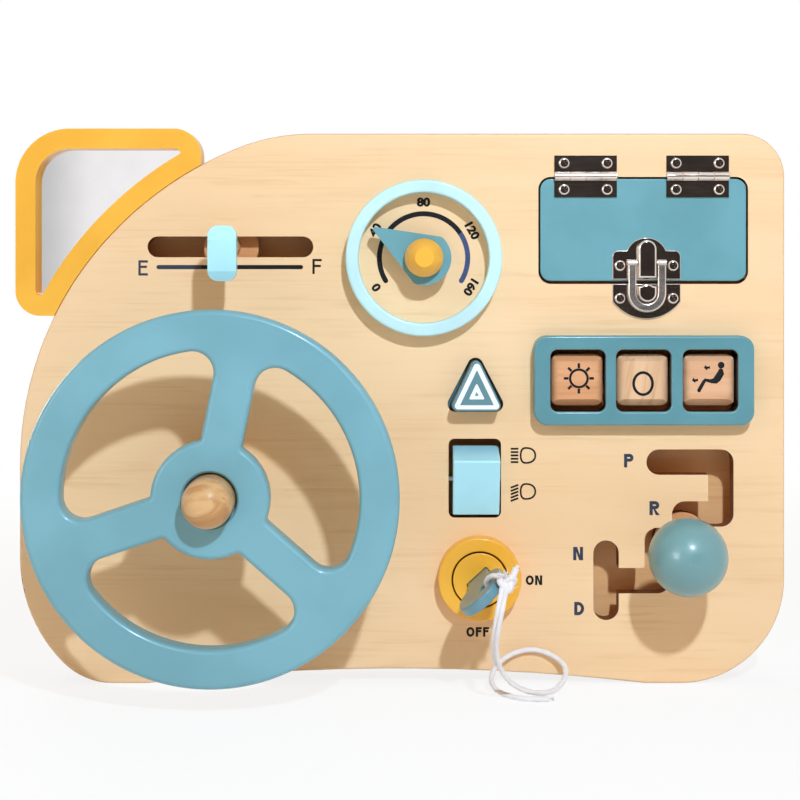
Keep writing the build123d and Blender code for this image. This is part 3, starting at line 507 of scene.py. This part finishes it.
# %% Finishes by piece
finishes = {
    "front_panel": birch_board, "spacer_rim": birch_shaded_inner, "back_panel": birch_painted_lit,
    "compartment_frame": birch_shaded_inner, "rear_stand_left": birch_stand,
    "rear_stand_right": birch_stand, "mirror_frame": warm_yellow, "mirror_glass": silvered,
    "mirror_back_plate": warm_yellow, "steering_wheel": wheel_blue, "steering_cap": birch_cap,
    "steering_column": birch_turned, "steering_block": birch_shaded_inner, "dial_ring": pale_ring,
    "needle": door_blue, "needle_knob": warm_yellow, "needle_spacer": birch_turned,
    "slider_tab": pale_cyan, "slider_stem": birch_turned, "slider_keeper": birch_shaded_inner,
    "gear_stem": birch_turned, "gear_ball": ball_blue, "gear_keeper": birch_shaded_inner,
    "door": door_blue, "air_frame": frame_blue, "air_block_sun": beech_sun,
    "air_block_zero": beech_zero, "air_block_fan": beech_fan, "air_axle_keepers": birch_shaded_inner,
    "hazard_button": hazard_teal, "light_rocker": pale_cyan, "rocker_pin_keepers": birch_shaded_inner,
    "lock_ring": yellow_lock, "lock_barrel": yellow_lock, "lock_thrust_pad": birch_shaded_inner,
    "key": key_blue, "latch_hasp": worn_nickel,
}
for name, piece in nodes.items():
    bright = name.startswith(("hinge", "latch"))
    finish = finishes.get(name, nickel if bright else steel)
    piece.data.materials.clear()
    piece.data.materials.append(finish)
print("pieces finished:", len(nodes))

# %% [markdown]
# ## Cotton cord
# The cord is a soft white cotton lace, tied through the key. It is limp: it leaves the knot
# outwards, bends over and hangs, then its loop stands lightly on the table. The line is a
# smooth curve through the same places as the solid tube. Its fine plies hardly show, so the
# tube only swells and narrows a little as it winds.

# %% Cotton
cotton, tree, shader = new_material("cotton", 0.9)
shader.inputs["Sheen Weight"].default_value = 0.4
shader.inputs["Sheen Roughness"].default_value = 0.6
place = place_of(tree)
fuzz, soft = noise(tree, place, 2200.0, 3.0), noise(tree, place, 240.0, 2.0)
tree.links.new(mixed(tree, soft, colour(248, 242, 240), colour(238, 231, 228)),
               shader.inputs["Base Color"])
bumped(tree, shader, fuzz, 0.2 * MM, 0.6)
print("finish ready:", cotton.name)

# %% [markdown]
# A few chosen points give the cord its way. The smooth curve past them becomes a line of even
# steps, and each point of it carries two directions that don't twist, to hold a round section.


# %% Smooth route
def smooth_line(name, points):
    """Points along the smooth curve that a limp cord takes past its control points."""
    data = bpy.data.curves.new(name, "CURVE")
    data.dimensions = "3D"
    data.resolution_u = 12
    spline = data.splines.new("NURBS")
    spline.points.add(len(points) - 1)
    for control, (x, z, out) in zip(spline.points, points):
        control.co = (*on_face(x, z, out), 1)
    spline.order_u = 3
    spline.use_endpoint_u = True
    curve = bpy.data.objects.new(name, data)
    bpy.context.collection.objects.link(curve)
    mesh = bpy.data.meshes.new_from_object(curve)
    line = [v.co.copy() for v in mesh.vertices]
    bpy.data.objects.remove(curve)
    bpy.data.meshes.remove(mesh)
    return line


def evened(line, step):
    """The same line with points a step apart."""
    out, carried = [line[0]], 0.0
    for a, b in zip(line, line[1:]):
        length = (b - a).length
        at = step - carried
        while at <= length:
            out.append(a.lerp(b, at / length))
            at += step
        carried = (carried + length) % step
    if (out[-1] - line[-1]).length > step * 0.3:
        out.append(line[-1])
    return out


def line_length(line):
    """The length of a line, in metres."""
    return sum((b - a).length for a, b in zip(line, line[1:]))


def frames_along(line):
    """Each point with two directions square to the line that don't twist."""
    ahead = (line[1] - line[0]).normalized()
    side = ahead.orthogonal().normalized()
    out = []
    for i, point in enumerate(line):
        here = (line[min(i + 1, len(line) - 1)] - line[max(i - 1, 0)]).normalized()
        side = (side - here * side.dot(here)).normalized()
        out.append((point, side, here.cross(side)))
    return out


print("route helpers ready")

# %% [markdown]
# A strand is a closed tube along such a line. Its section swells three times round and turns
# as it goes, which is the twist of three plies.

# %% Drawing a strand
cord_r, cord_sides, cord_swell = 1.2, 12, 0.045
SMOOTH_BELOW = math.radians(60)


def tube_along(bm, line, radius, sides=10, ripple=0.0, lay=5.0):
    """Closed round tube along a line, radius a number or a function of 0 to 1."""
    rings, gone, last = [], 0.0, line[0]
    for i, (point, u, v) in enumerate(frames_along(line)):
        gone, last = gone + (point - last).length, point
        r = radius(i / (len(line) - 1)) if callable(radius) else radius
        ring = []
        for t in (2 * math.pi * k / sides for k in range(sides)):
            swell = 1 + ripple * math.cos(3 * t - 2 * math.pi * gone / (lay * MM))
            ring.append(bm.verts.new(point + (u * math.cos(t) + v * math.sin(t)) * r * swell))
        rings.append(ring)
    for a, b in zip(rings, rings[1:]):
        for k in range(sides):
            bm.faces.new((a[k], a[(k + 1) % sides], b[(k + 1) % sides], b[k]))
    bm.faces.new(list(reversed(rings[0])))
    bm.faces.new(rings[-1])


def strand(bm, line, radius=cord_r):
    """A soft twisted strand: a round tube whose plies barely show."""
    tube_along(bm, line, radius * MM, sides=cord_sides, ripple=cord_swell)


def finish_mesh(bm, name, material, body):
    """Turns working geometry into a piece that rides on a body."""
    bmesh.ops.recalc_face_normals(bm, faces=bm.faces)
    mesh = bpy.data.meshes.new(name)
    bm.to_mesh(mesh)
    bm.free()
    piece = bpy.data.objects.new(name, mesh)
    bpy.context.collection.objects.link(piece)
    mesh.materials.append(material)
    select_only(piece)
    bpy.ops.object.shade_smooth_by_angle(angle=SMOOTH_BELOW)
    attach(piece, body)
    return piece


print("cord", 2 * cord_r, "mm thick")

# %% [markdown]
# The long strand goes over the knot's edge, down, and once round on the table. The tail hangs
# close beside its upper part. Each point is x, z and out, in millimetres.

# %% Long strand and tail
strand_step, loop_step = 0.8, 0.6
long_route = [
    (47.5, 57.1, 53.3), (45.6, 50.4, 59.8), (43.6, 39.8, 57.6), (42.8, 28.5, 49.4),
    (45.0, 18.2, 41.0), (50.5, 9.0, 34.0), (59.5, 3.4, 28.6), (69.8, 1.7, 24.2),
    (77.2, 4.8, 15.5), (79.4, 10.0, 6.8), (73.2, 14.4, 2.5), (63.5, 17.4, 1.9),
    (53.6, 15.4, 2.7), (46.0, 11.0, 6.6), (42.4, 6.2, 13.5), (44.4, 2.5, 21.5),
    (51.0, 1.4, 28.2), (59.8, 1.3, 32.6), (68.6, 1.35, 32.0),
]
tail_route = [
    (45.8, 57.9, 52.2), (44.0, 50.6, 58.6), (42.2, 40.0, 56.0), (41.5, 29.1, 48.1),
    (43.2, 19.6, 39.9),
]
strands = {}
for name, route in (("long_strand", long_route), ("tail_strand", tail_route)):
    line = evened(smooth_line(name, route), strand_step * MM)
    bm = bmesh.new()
    strand(bm, line)
    strands[name] = finish_mesh(bm, name, cotton, "lanyard"), line
    print(name, round(line_length(line) / MM, 1), "mm")
long_strand, long_line = strands["long_strand"]
tail_strand, tail_line = strands["tail_strand"]

# %% [markdown]
# The ends of a cut cotton lace fray. Each end gets a small tuft of threads that spread from
# the last few millimetres. They are short, so they are drawn as thin tapered tubes.

# %% Frayed tufts
random.seed(7)
thread_r, thread_taper, table_clearance = 0.26, 0.18, 0.3


def tuft(bm, root, way, length, spread, count):
    """Short loose threads that leave a point."""
    way = way.normalized()
    side = way.orthogonal().normalized()
    other = way.cross(side)
    for _ in range(count):
        t, lean = random.uniform(0, 2 * math.pi), random.uniform(0.1, 1) * spread
        out = side * math.cos(t) + other * math.sin(t)
        reach = length * random.uniform(0.6, 1)
        start = root + out * 0.5 * MM * random.random()
        middle = start + (way + out * lean * 0.4) * reach * 0.5
        end = start + (way + out * lean) * reach
        for point in (middle, end):
            point.z = max(point.z, table_clearance * MM)
        tube_along(bm, [start, middle, end], lambda s: (thread_r - thread_taper * s) * MM, sides=5)


threads_per_end = 16
bm = bmesh.new()
for line in (long_line, tail_line):
    tuft(bm, line[-1], line[-1] - line[-4], 2.6 * MM, 0.55, threads_per_end)
frayed_ends = finish_mesh(bm, "frayed_ends", cotton, "lanyard")
print("frayed threads:", 2 * threads_per_end)

# %% [markdown]
# ## The knot and the loop
# The lace passes through the hole of the key and closes in a knot at its rim. The knot is two
# tight turns and a band across them, pulled hard, with a short stub that stands up and away.
# A trefoil is the closed line of such a knot.

# %% Knot
key_turn = math.radians(43)
knot_u, knot_out = 12.4, 51.5
hole_u, hole_out = 3.5, 41.0


def on_key(along, out, aside=0.0):
    """A point in the key's own plane, aside measured square to the blade."""
    x = lock_x + along * math.cos(key_turn) - aside * math.sin(key_turn)
    z = lock_z + along * math.sin(key_turn) + aside * math.cos(key_turn)
    return on_face(x, z, out)


knot_centre = on_key(knot_u, knot_out)


def trefoil(centre, across, up, size, steps=120):
    """The closed line of an overhand knot, lying in the plane of two directions."""
    through = across.cross(up)
    out = []
    for i in range(steps + 1):
        t = 2 * math.pi * i / steps
        a = math.sin(t) + 2 * math.sin(2 * t)
        b = math.cos(t) - 2 * math.cos(2 * t)
        out.append(centre + (across * a + up * b - through * math.sin(3 * t)) * size * MM)
    return out


def beside_knot(right, up, out):
    """A point so many millimetres right of, above and out of the knot's centre."""
    return knot_centre + on_face(right, up, out)


knot_size, knot_lace_r, knot_reach = 1.2, 1.4, 3.0
stub_l, stub_r, stub_flare = 7, 1.35, 0.3
bm = bmesh.new()
knot_middle = beside_knot(0.9, -1.1, 0.8)
strand(bm, trefoil(knot_middle, Vector((1, 0, 0)), Vector((0, 0, 1)), knot_size), knot_lace_r)
stub_start = beside_knot(2.4, -1.2, 1.2)
stub = [stub_start + on_face(0.24 * d + 0.02 * d * d, 0.95 * d) for d in range(stub_l + 1)]
tube_along(bm, stub, lambda s: (stub_r + stub_flare * s) * MM, sides=cord_sides, ripple=0.06,
           lay=7.0)
tuft(bm, stub[-1], stub[-1] - stub[-2], 1.6 * MM, 0.5, 26)
for way, reach, count in (((-0.7, -0.3, 0.8), 3.4, 22), ((-0.1, -0.6, 0.9), 3.2, 18),
                          ((0.6, -0.5, -0.5), 2.6, 12)):
    way = Vector(way)
    tuft(bm, knot_middle + way * knot_reach * MM, way, reach * MM, 0.9, count)
knot = finish_mesh(bm, "cord_knot", cotton, "lanyard")
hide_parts("key_knot")
print("knot made")

# %% [markdown]
# The loop goes through the key's hole and back to the knot. It is an oval, square to the key,
# whose two ends come together inside the knot.

# %% Loop through the key
half_l = math.hypot(knot_u - hole_u, knot_out - hole_out) / 2
half_w, mouth, loop_steps = 4.6, math.radians(14), 60
mid_u, mid_out = (knot_u + hole_u) / 2, (knot_out + hole_out) / 2
slope = math.atan2(knot_out - hole_out, knot_u - hole_u)
ring = []
for i in range(loop_steps + 1):
    t = mouth + (2 * math.pi - 2 * mouth) * i / loop_steps
    reach, lean = half_l * math.cos(t), half_w * math.sin(t)
    ring.append(on_key(mid_u + reach * math.cos(slope), mid_out + reach * math.sin(slope), lean))
bm = bmesh.new()
strand(bm, evened(ring, loop_step * MM))
loop = finish_mesh(bm, "cord_loop", cotton, "key")
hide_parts("key_loop")
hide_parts("long_cord")
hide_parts("short_cord")
print("loop", round(2 * half_l, 1), "by", 2 * half_w, "mm")

# %% [markdown]
# When the key turns down, the knot comes closer to the table. A real cord would sag into a
# flatter loop there. Here the strands and the frayed ends each get a mesh of their own.

# %% Cord near the table
for piece in (long_strand, tail_strand, frayed_ends):
    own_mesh(piece)

# %% [markdown]
# ## Printed marks
# Ink lies on the wood as a film far thinner than paper. Each mark is a flat curve with a
# trace of thickness, turned to stand on the face, and it rides on the piece it is printed on.
# The dial's numbers are typed, then scaled to a measured height.

# %% Marks as flat outlines
film_t = 0.06


def stand_up(piece, x, z, out, turn=0.0):
    """Turns a mark drawn flat in millimetres so that it stands on the face at its place."""
    place = Matrix.Translation(on_face(x, z, out)) @ Matrix.Rotation(math.radians(90), 4, "X")
    piece.data.transform(place @ Matrix.Rotation(math.radians(turn), 4, "Z")
                         @ Matrix.Scale(MM, 4))
    piece.matrix_world = Matrix.Identity(4)


def inked(piece, name, material, body):
    """Names a mark, gives it its ink and lets it ride on a body."""
    piece.name = piece.data.name = name
    piece.data.materials.clear()
    piece.data.materials.append(material)
    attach(piece, body)


def printed(name, outlines, x, z, out, material, body="board"):
    """A mark filled between closed outlines in millimetres; an outline inside is a hole."""
    data = bpy.data.curves.new(name, "CURVE")
    data.dimensions, data.fill_mode, data.extrude = "2D", "BOTH", film_t / 2
    for outline in outlines:
        spline = data.splines.new("POLY")
        spline.points.add(len(outline) - 1)
        for point, (u, v) in zip(spline.points, outline):
            point.co = (u, v, 0, 1)
        spline.use_cyclic_u = True
    piece = bpy.data.objects.new(name, data)
    bpy.context.collection.objects.link(piece)
    select_only(piece)
    bpy.ops.object.convert(target="MESH")
    piece = bpy.context.object
    stand_up(piece, x, z, out + film_t / 2)
    inked(piece, name, material, body)


def typed_number(name, number, x, z, height, turn, bold, wide):
    """A typed number of a given height, centred on its place."""
    bpy.ops.object.select_all(action="DESELECT")
    bpy.ops.object.text_add(location=(0, 0, 0))
    piece = bpy.context.object
    piece.data.body, piece.data.size, piece.data.offset = str(number), 1.0, bold
    bpy.ops.object.convert(target="MESH")
    piece = bpy.context.object
    spots = [v.co for v in piece.data.vertices]
    low = Vector((min(s.x for s in spots), min(s.y for s in spots), 0))
    high = Vector((max(s.x for s in spots), max(s.y for s in spots), 0))
    grow = height / (high.y - low.y)
    piece.data.transform(Matrix.Diagonal((grow * wide, grow, 1, 1))
                         @ Matrix.Translation(-(low + high) / 2))
    select_only(piece)
    thick = piece.modifiers.new("film", "SOLIDIFY")
    thick.thickness, thick.offset = film_t, 0
    bpy.ops.object.modifier_apply(modifier=thick.name)
    stand_up(piece, x, z, film_t / 2, turn)
    inked(piece, name, black_ink, "board")


print("ink film", film_t, "mm thick")

# %% [markdown]
# Most marks are made of a few plain shapes: arcs, stripes with round ends, straight bars,
# ovals and a rounded triangle.


# %% Outline helpers
def arc(radius, start, end, steps=24, centre=(0, 0)):
    """Points on an arc, angles in degrees."""
    turn = [math.radians(start + (end - start) * i / steps) for i in range(steps + 1)]
    return [(centre[0] + radius * math.cos(t), centre[1] + radius * math.sin(t)) for t in turn]


def band(radius, width, start, end, steps=40, caps=(False, False)):
    """A stripe along an arc, with round caps at its start or end."""
    way = 1 if end > start else -1
    outline = arc(radius + width / 2, start, end, steps)
    if caps[1]:
        t = math.radians(end)
        outline += arc(width / 2, end, end + 180 * way, 12,
                       (radius * math.cos(t), radius * math.sin(t)))
    outline += arc(radius - width / 2, end, start, steps)
    if caps[0]:
        t = math.radians(start)
        outline += arc(width / 2, start + 180, start + 180 + 180 * way, 12,
                       (radius * math.cos(t), radius * math.sin(t)))
    return outline


def bar(u0, v0, u1, v1, width):
    """A straight stripe between two points."""
    run = math.hypot(u1 - u0, v1 - v0)
    nu, nv = -(v1 - v0) / run * width / 2, (u1 - u0) / run * width / 2
    return [(u0 + nu, v0 + nv), (u1 + nu, v1 + nv), (u1 - nu, v1 - nv), (u0 - nu, v0 - nv)]


def oval(half_u, half_v, steps=48):
    """An oval round the origin."""
    return [(half_u * math.cos(t), half_v * math.sin(t))
            for t in (2 * math.pi * i / steps for i in range(steps))]


def rounded_triangle(half_base, rise, radius):
    """A triangle with round corners, the middle of its inner base at the origin."""
    lean = math.degrees(math.atan2(rise, half_base))
    right = arc(radius, -90, 90 - lean, 10, (half_base, 0))
    top = arc(radius, 90 - lean, 90 + lean, 10, (0, rise))
    left = arc(radius, 90 + lean, 270, 10, (-half_base, 0))
    return right + top + left


print("outline helpers ready")

# %% [markdown]
# The capitals are plain and upright. The font that comes with Blender is rounder than these,
# so each capital is drawn from a few corners and arcs, one unit high, with its own weight.

# %% Capitals
def half_oval(centre, half_u, half_v, steps=18):
    """The right half of an oval, from its top to its bottom."""
    return [(centre[0] + half_u * math.cos(t), centre[1] + half_v * math.sin(t))
            for t in (math.radians(90 - 180 * i / steps) for i in range(steps + 1))]


def capital(letter, t):
    """Outlines of a capital one unit high with strokes t thick, and its width."""
    if letter in "EF":
        w, arm, mid = 0.62, 0.56, 0.5 if letter == "E" else 0.46
        foot = [(0, 0), (w, 0), (w, t), (t, t)] if letter == "E" else [(0, 0), (t, 0)]
        return [foot + [(t, mid), (arm, mid), (arm, mid + t), (t, mid + t), (t, 1 - t), (w, 1 - t),
                        (w, 1), (0, 1)]], w
    if letter == "N":
        w, lean = 0.74, 1.25 * t
        return [[(0, 0), (0, 1), (lean, 1), (w - t, 1.6 * t), (w - t, 1), (w, 1), (w, 0),
                 (w - lean, 0), (t, 1 - 1.6 * t), (t, 0)]], w
    if letter == "O":
        w = 0.84
        return [[(w / 2 + u, 0.5 + v) for u, v in oval(w / 2, 0.5)],
                [(w / 2 + u, 0.5 + v) for u, v in oval(w / 2 - t, 0.5 - t)]], w
    if letter == "D":
        w, flat = 0.74, 0.28
        return [[(0, 0), (0, 1)] + half_oval((flat, 0.5), w - flat, 0.5),
                [(t, t), (t, 1 - t)] + half_oval((flat, 0.5), w - flat - t, 0.5 - t)], w
    w, r = 0.70, 0.29
    bowl = [(0, 0), (0, 1)] + half_oval((w - r, 1 - r), r, r)
    leg = []
    if letter == "R":
        leg = [(w + 0.04, 0), (w + 0.04 - 1.2 * t, 0), (w - r - 0.13, 1 - 2 * r)]
    hole = [(t, 1 - t)] + half_oval((w - r, 1 - r), r - t, r - t) + [(t, 1 - 2 * r + t)]
    return [bowl + leg + [(t, 1 - 2 * r), (t, 0)], hole], w


def printed_word(name, word, x, z, height, weight, material):
    """Capitals side by side, centred on their place."""
    outlines, at = [], 0.0
    for letter in word:
        drawn, w = capital(letter, weight)
        outlines += [[(at + u, v) for u, v in outline] for outline in drawn]
        at += w + 0.14
    half = (at - 0.14) / 2
    printed(name, [[((u - half) * height, (v - 0.5) * height) for u, v in outline]
                   for outline in outlines], x, z, 0, material)


letters = (
    ("mark_e", "E", -123.3, 199.5, 7.3, 0.15, slate_ink),
    ("mark_f", "F", -39.8, 200.2, 7.2, 0.15, black_ink),
    ("mark_p", "P", 109.8, 107.0, 6.5, 0.235, slate_ink),
    ("mark_r", "R", 122.1, 84.2, 6.7, 0.235, slate_ink),
    ("mark_n", "N", 85.5, 62.4, 6.4, 0.235, slate_ink),
    ("mark_d", "D", 86.0, 36.0, 6.4, 0.235, slate_ink),
    ("mark_on", "ON", 64.3, 49.6, 4.6, 0.235, black_ink),
    ("mark_off", "OFF", 37.3, 24.8, 4.6, 0.235, black_ink),
)
for row in letters:
    printed_word(*row)
fuel_line_z, fuel_half_t = 199.9, 1.0
fuel_from, fuel_change, fuel_to = -115.9, -95.3, -47.5
printed("fuel_line_low", [arc(fuel_half_t, 90, 270, 12, (fuel_from, 0))
                          + [(fuel_change, -fuel_half_t), (fuel_change, fuel_half_t)]],
        0, fuel_line_z, 0, slate_ink)
printed("fuel_line_high", [arc(fuel_half_t, -90, 90, 12, (fuel_to, 0))
                           + [(fuel_change, fuel_half_t), (fuel_change, -fuel_half_t)]],
        0, fuel_line_z, 0, black_ink)
print("letters:", len(letters))

# %% [markdown]
# The dial has a scale in two colours, with a number at every fortieth mark. Each number stands
# with its foot towards the middle.

# %% Speedometer face
dial_x, dial_z = 11.3, 204.3
scale_r, scale_w, number_r = 21.2, 2.4, 26.8
printed("dial_arc_high", [band(scale_r, scale_w, 34, -31, 40, (False, True))], dial_x, dial_z, 0,
        blue_ink)
printed("dial_arc_low", [band(scale_r, scale_w, 211, 34, 90, (True, False))], dial_x, dial_z, 0,
        black_ink)
for number, angle in ((0, 212), (40, 150), (80, 90), (120, 29), (160, -32)):
    t = math.radians(angle)
    typed_number(f"dial_number_{number}", number, dial_x + number_r * math.cos(t),
                 dial_z + number_r * math.sin(t), height=4.4, turn=angle - 90, bold=0.05,
                 wide=1.12)
print("dial printed")

# %% [markdown]
# Beside the rocker are the signs of the high and the low beam: a lamp seen from the side with
# five rays, level or slanting down.

# %% Headlamp signs
lamp_x, lamp_back, lamp_front, lamp_h, lamp_t = 60.5, 3.0, 4.85, 8.0, 0.85
ray_from, ray_to, ray_gap, ray_t = -7.35, -3.7, 1.6, 0.9


def egg(back, front, half_h, steps=32):
    """A lamp seen from the side: flat-backed, with a rounded nose."""
    out = []
    for i in range(2 * steps):
        t = math.pi * i / steps
        c, v = math.cos(t), math.sin(t)
        power = 0.88 if c > 0 else 0.72
        reach = front if c > 0 else back
        out.append((math.copysign(abs(c) ** power * reach, c),
                    math.copysign(abs(v) ** 0.9, v) * half_h))
    return out


for name, z, drop in (("high_beam", 109.5, 0.0), ("low_beam", 92.2, 1.4)):
    inner = egg(lamp_back - lamp_t, lamp_front - lamp_t, lamp_h / 2 - lamp_t)
    printed(f"{name}_lamp", [egg(lamp_back, lamp_front, lamp_h / 2), inner], lamp_x, z, 0, black_ink)
    rays = [bar(ray_from, k * ray_gap - drop, ray_to, k * ray_gap, ray_t) for k in range(-2, 3)]
    printed(f"{name}_rays", rays, lamp_x, z, 0, black_ink)
print("headlamp signs printed")

# %% [markdown]
# The button carries a white outline along its edge and a small triangle with a hole.

# %% Hazard triangle
hazard_x, hazard_z, hazard_out = 36.2, 134.2, 11.0
outer = rounded_triangle(8.9, 18.4, 1.6)
inner = [(u, v + 0.45) for u, v in rounded_triangle(7.85, 16.3, 0.1)]
printed("hazard_outline", [outer, inner], hazard_x + 0.2, hazard_z, hazard_out, white_ink, "hazard")
small = rounded_triangle(3.0, 6.2, 0.5)
hole = [(u, v + 1.3) for u, v in rounded_triangle(0.75, 1.6, 0.1)]
printed("hazard_centre", [small, hole], hazard_x + 0.1, hazard_z + 3.6, hazard_out, white_ink,
        "hazard")

# %% [markdown]
# Three signs are printed on the turning blocks: a sun for heat, a nought, and a seated figure
# in a stream of air. The figure is one outline from its feet up the back and down the front.

# %% Signs on the blocks
block_out = 5.7
sun_x, sun_z, zero_x, zero_z, fan_x, fan_z = 85.2, 146.9, 115.8, 144.4, 147.6, 146.3
ray_in, ray_end, sun_ray_t = 4.9, 7.2, 1.2
sun = [oval(4.75, 4.75), oval(3.6, 3.6)]
printed("sign_sun", sun, sun_x, sun_z, block_out, black_ink, "sun_block")
rays = []
for k in range(8):
    u, v = math.cos(math.radians(45 * k)), math.sin(math.radians(45 * k))
    rays.append(bar(ray_in * u, ray_in * v, ray_end * u, ray_end * v, sun_ray_t))
printed("sign_rays", rays, sun_x, sun_z, block_out, black_ink, "sun_block")
printed("sign_zero", [oval(5.15, 5.9), oval(3.85, 4.6)], zero_x, zero_z, block_out, black_ink,
        "zero_block")
back = [(-5.9, -4.6), (-3.6, -0.6), (-2.4, 0.55), (0.2, 0.2), (1.6, 0.6), (4.1, 4.3)]
front = [(6.4, 4.1), (6.8, 2.6), (4.9, -0.6), (3.2, -1.9), (0.6, -1.7), (-1.9, -0.9), (-4.2, -5.2)]
rider = back + arc(1.2, 150, 10, 8, (5.2, 4.1)) + front + arc(0.9, -20, -170, 8, (-5.1, -5.1))
head = [(5.4 + u, 6.9 + v) for u, v in oval(1.6, 1.6, 24)]
flow = [[(x - 1.6, z), (x - 0.7, z + 1.2), (x - 0.1, z + 0.4), (x + 1.3, z + 0.8),
         (x + 1.4, z - 0.5), (x + 0.2, z - 0.5), (x, z - 1.3)]
        for x, z in ((-1.3, 5.7), (-7.0, -0.3))]
printed("sign_fan", [rider, head] + flow, fan_x, fan_z, block_out, black_ink, "fan_block")
print("block signs printed")

# %% [markdown]
# ## Light
# One small lamp stands high in front, a little to the right, so the shadows that fall down and
# to the left keep a clear edge. The even light of the room fills them by half. A weak wide
# lamp at the left evens the face out, and one behind lights the back.
#
# The table is white to the eye and to gloss, melts into the backdrop, and still takes the
# shadow of the board. Polished metal needs something dark to mirror, so the far table ahead of
# the board is dim, for gloss only.

# %% Table
TABLE_WHITE, DARK_ROOM = (0.96, 0.96, 0.96, 1), (0.035, 0.028, 0.024, 1)
bpy.ops.object.select_all(action="DESELECT")
bpy.ops.mesh.primitive_plane_add(size=12, location=(0, 0, 0))
table = bpy.context.object
table.name = "table"
white, tree, shader = new_material("table_white", 0.9)
shader.inputs["Base Color"].default_value = TABLE_WHITE
path = add_node(tree, "ShaderNodeLightPath")
seen = math_node(tree, "MAXIMUM", path.outputs["Is Camera Ray"], path.outputs["Is Glossy Ray"])
seen = math_node(tree, "MAXIMUM", seen, path.outputs["Is Transmission Ray"])
coords = add_node(tree, "ShaderNodeTexCoord")
spot = add_node(tree, "ShaderNodeVectorMath", {0: coords.outputs["Object"]}, operation="LENGTH")
fade = add_node(tree, "ShaderNodeMapRange", {"Value": spot.outputs["Value"], "From Min": 0.25,
                                             "From Max": 0.9, "To Min": 0.84, "To Max": 1.0},
                interpolation_type="SMOOTHSTEP")
way = add_node(tree, "ShaderNodeVectorMath", {0: coords.outputs["Object"]},
               operation="NORMALIZE")
toward = add_node(tree, "ShaderNodeSeparateXYZ", {0: way.outputs[0]})
ahead = ramp(tree, toward.outputs[1], -0.80, -0.92)
rightward = ramp(tree, toward.outputs[0], -0.13, -0.07)
distant = ramp(tree, spot.outputs["Value"], 0.9, 1.5)
dim = product(tree, ahead, rightward, distant, path.outputs["Is Glossy Ray"])
glow = add_node(tree, "ShaderNodeEmission", {
    "Color": mixed(tree, dim, (1, 1, 1, 1), DARK_ROOM), "Strength": 1.0})
blend = add_node(tree, "ShaderNodeMixShader", {
    0: product(tree, seen, fade.outputs[0]), 1: shader.outputs[0], 2: glow.outputs[0]})
tree.links.new(blend.outputs[0], tree.nodes["Material Output"].inputs["Surface"])
table.data.materials.append(white)
print("table ready:", table.name)

# %% [markdown]
# The eye sees a white backdrop. Matt surfaces take a warm, even light. Gloss sees a room that
# is dark behind the lens and bright at the sides, with a grey stretch for the mirror to show
# and a bright window card for the highlight on the ball.

# %% World
ROOM_LIGHT, BRIGHT_ROOM = (0.40, 0.31, 0.22, 1), (0.95, 0.94, 0.93, 1)
MIRROR_GREY, GREY_SHARE, WINDOW_CARD = (0.42, 0.42, 0.43, 1), 0.75, (8.5, 8.7, 9.0, 1)
world = bpy.data.worlds.new("studio")
bpy.context.scene.world = world
world.use_nodes = True
tree = world.node_tree
path = add_node(tree, "ShaderNodeLightPath")
seen = math_node(tree, "MAXIMUM", path.outputs["Is Camera Ray"],
                 path.outputs["Is Transmission Ray"])
coords = add_node(tree, "ShaderNodeTexCoord")
ways = add_node(tree, "ShaderNodeSeparateXYZ", {0: coords.outputs["Generated"]})
front, left = product(tree, ways.outputs[1], -1.0), product(tree, ways.outputs[0], -1.0)
left_card = ramp(tree, left, 0.07, 0.13)
round_edge = ramp(tree, front, 0.965, 0.72)
room = mixed(tree, math_node(tree, "MAXIMUM", left_card, round_edge), DARK_ROOM, BRIGHT_ROOM)
shade = product(tree, ramp(tree, left, 0.185, 0.225), ramp(tree, left, 0.36, 0.30), GREY_SHARE)
room = mixed(tree, shade, room, MIRROR_GREY)
across = product(tree, ramp(tree, left, 0.58, 0.62), ramp(tree, left, 0.80, 0.76))
upright = product(tree, ramp(tree, ways.outputs[2], 0.02, 0.06),
                  ramp(tree, ways.outputs[2], 0.34, 0.30))
room = mixed(tree, product(tree, across, upright), room, WINDOW_CARD)
gloss = mixed(tree, path.outputs["Is Glossy Ray"], ROOM_LIGHT, room)
tree.links.new(mixed(tree, seen, gloss, (1, 1, 1, 1)), tree.nodes["Background"].inputs["Color"])
tree.nodes["Background"].inputs["Strength"].default_value = 1.0
print("room ready:", world.name)

# %% [markdown]
# Each lamp is a square that looks at a point of the board. Power is in watts, and the tint is
# cool for the key lamp and warm for the fill.


# %% Lamps
def softbox(name, place, target, size, power, tint):
    """A square lamp that looks at a point."""
    data = bpy.data.lights.new(name, "AREA")
    data.size, data.energy, data.color = size, power, tint
    lamp = bpy.data.objects.new(name, data)
    lamp.location = place
    lamp.rotation_euler = (Vector(target) - Vector(place)).to_track_quat("-Z", "Y").to_euler()
    bpy.context.collection.objects.link(lamp)


softbox("key_lamp", (0.19, -0.82, 0.68), (0, 0, 0.13), 0.04, 8.2, (0.64, 0.80, 1.0))
softbox("side_fill", (-0.70, -0.80, 0.60), (-0.1, 0, 0.13), 0.5, 0.7, (1.0, 0.88, 0.74))
softbox("back_fill", (-0.5, 1.0, 0.8), (0, 0, 0.13), 0.8, 6.0, (0.85, 0.92, 1.0))
bpy.context.scene.view_settings.view_transform = "Standard"
print("lamps: 3")
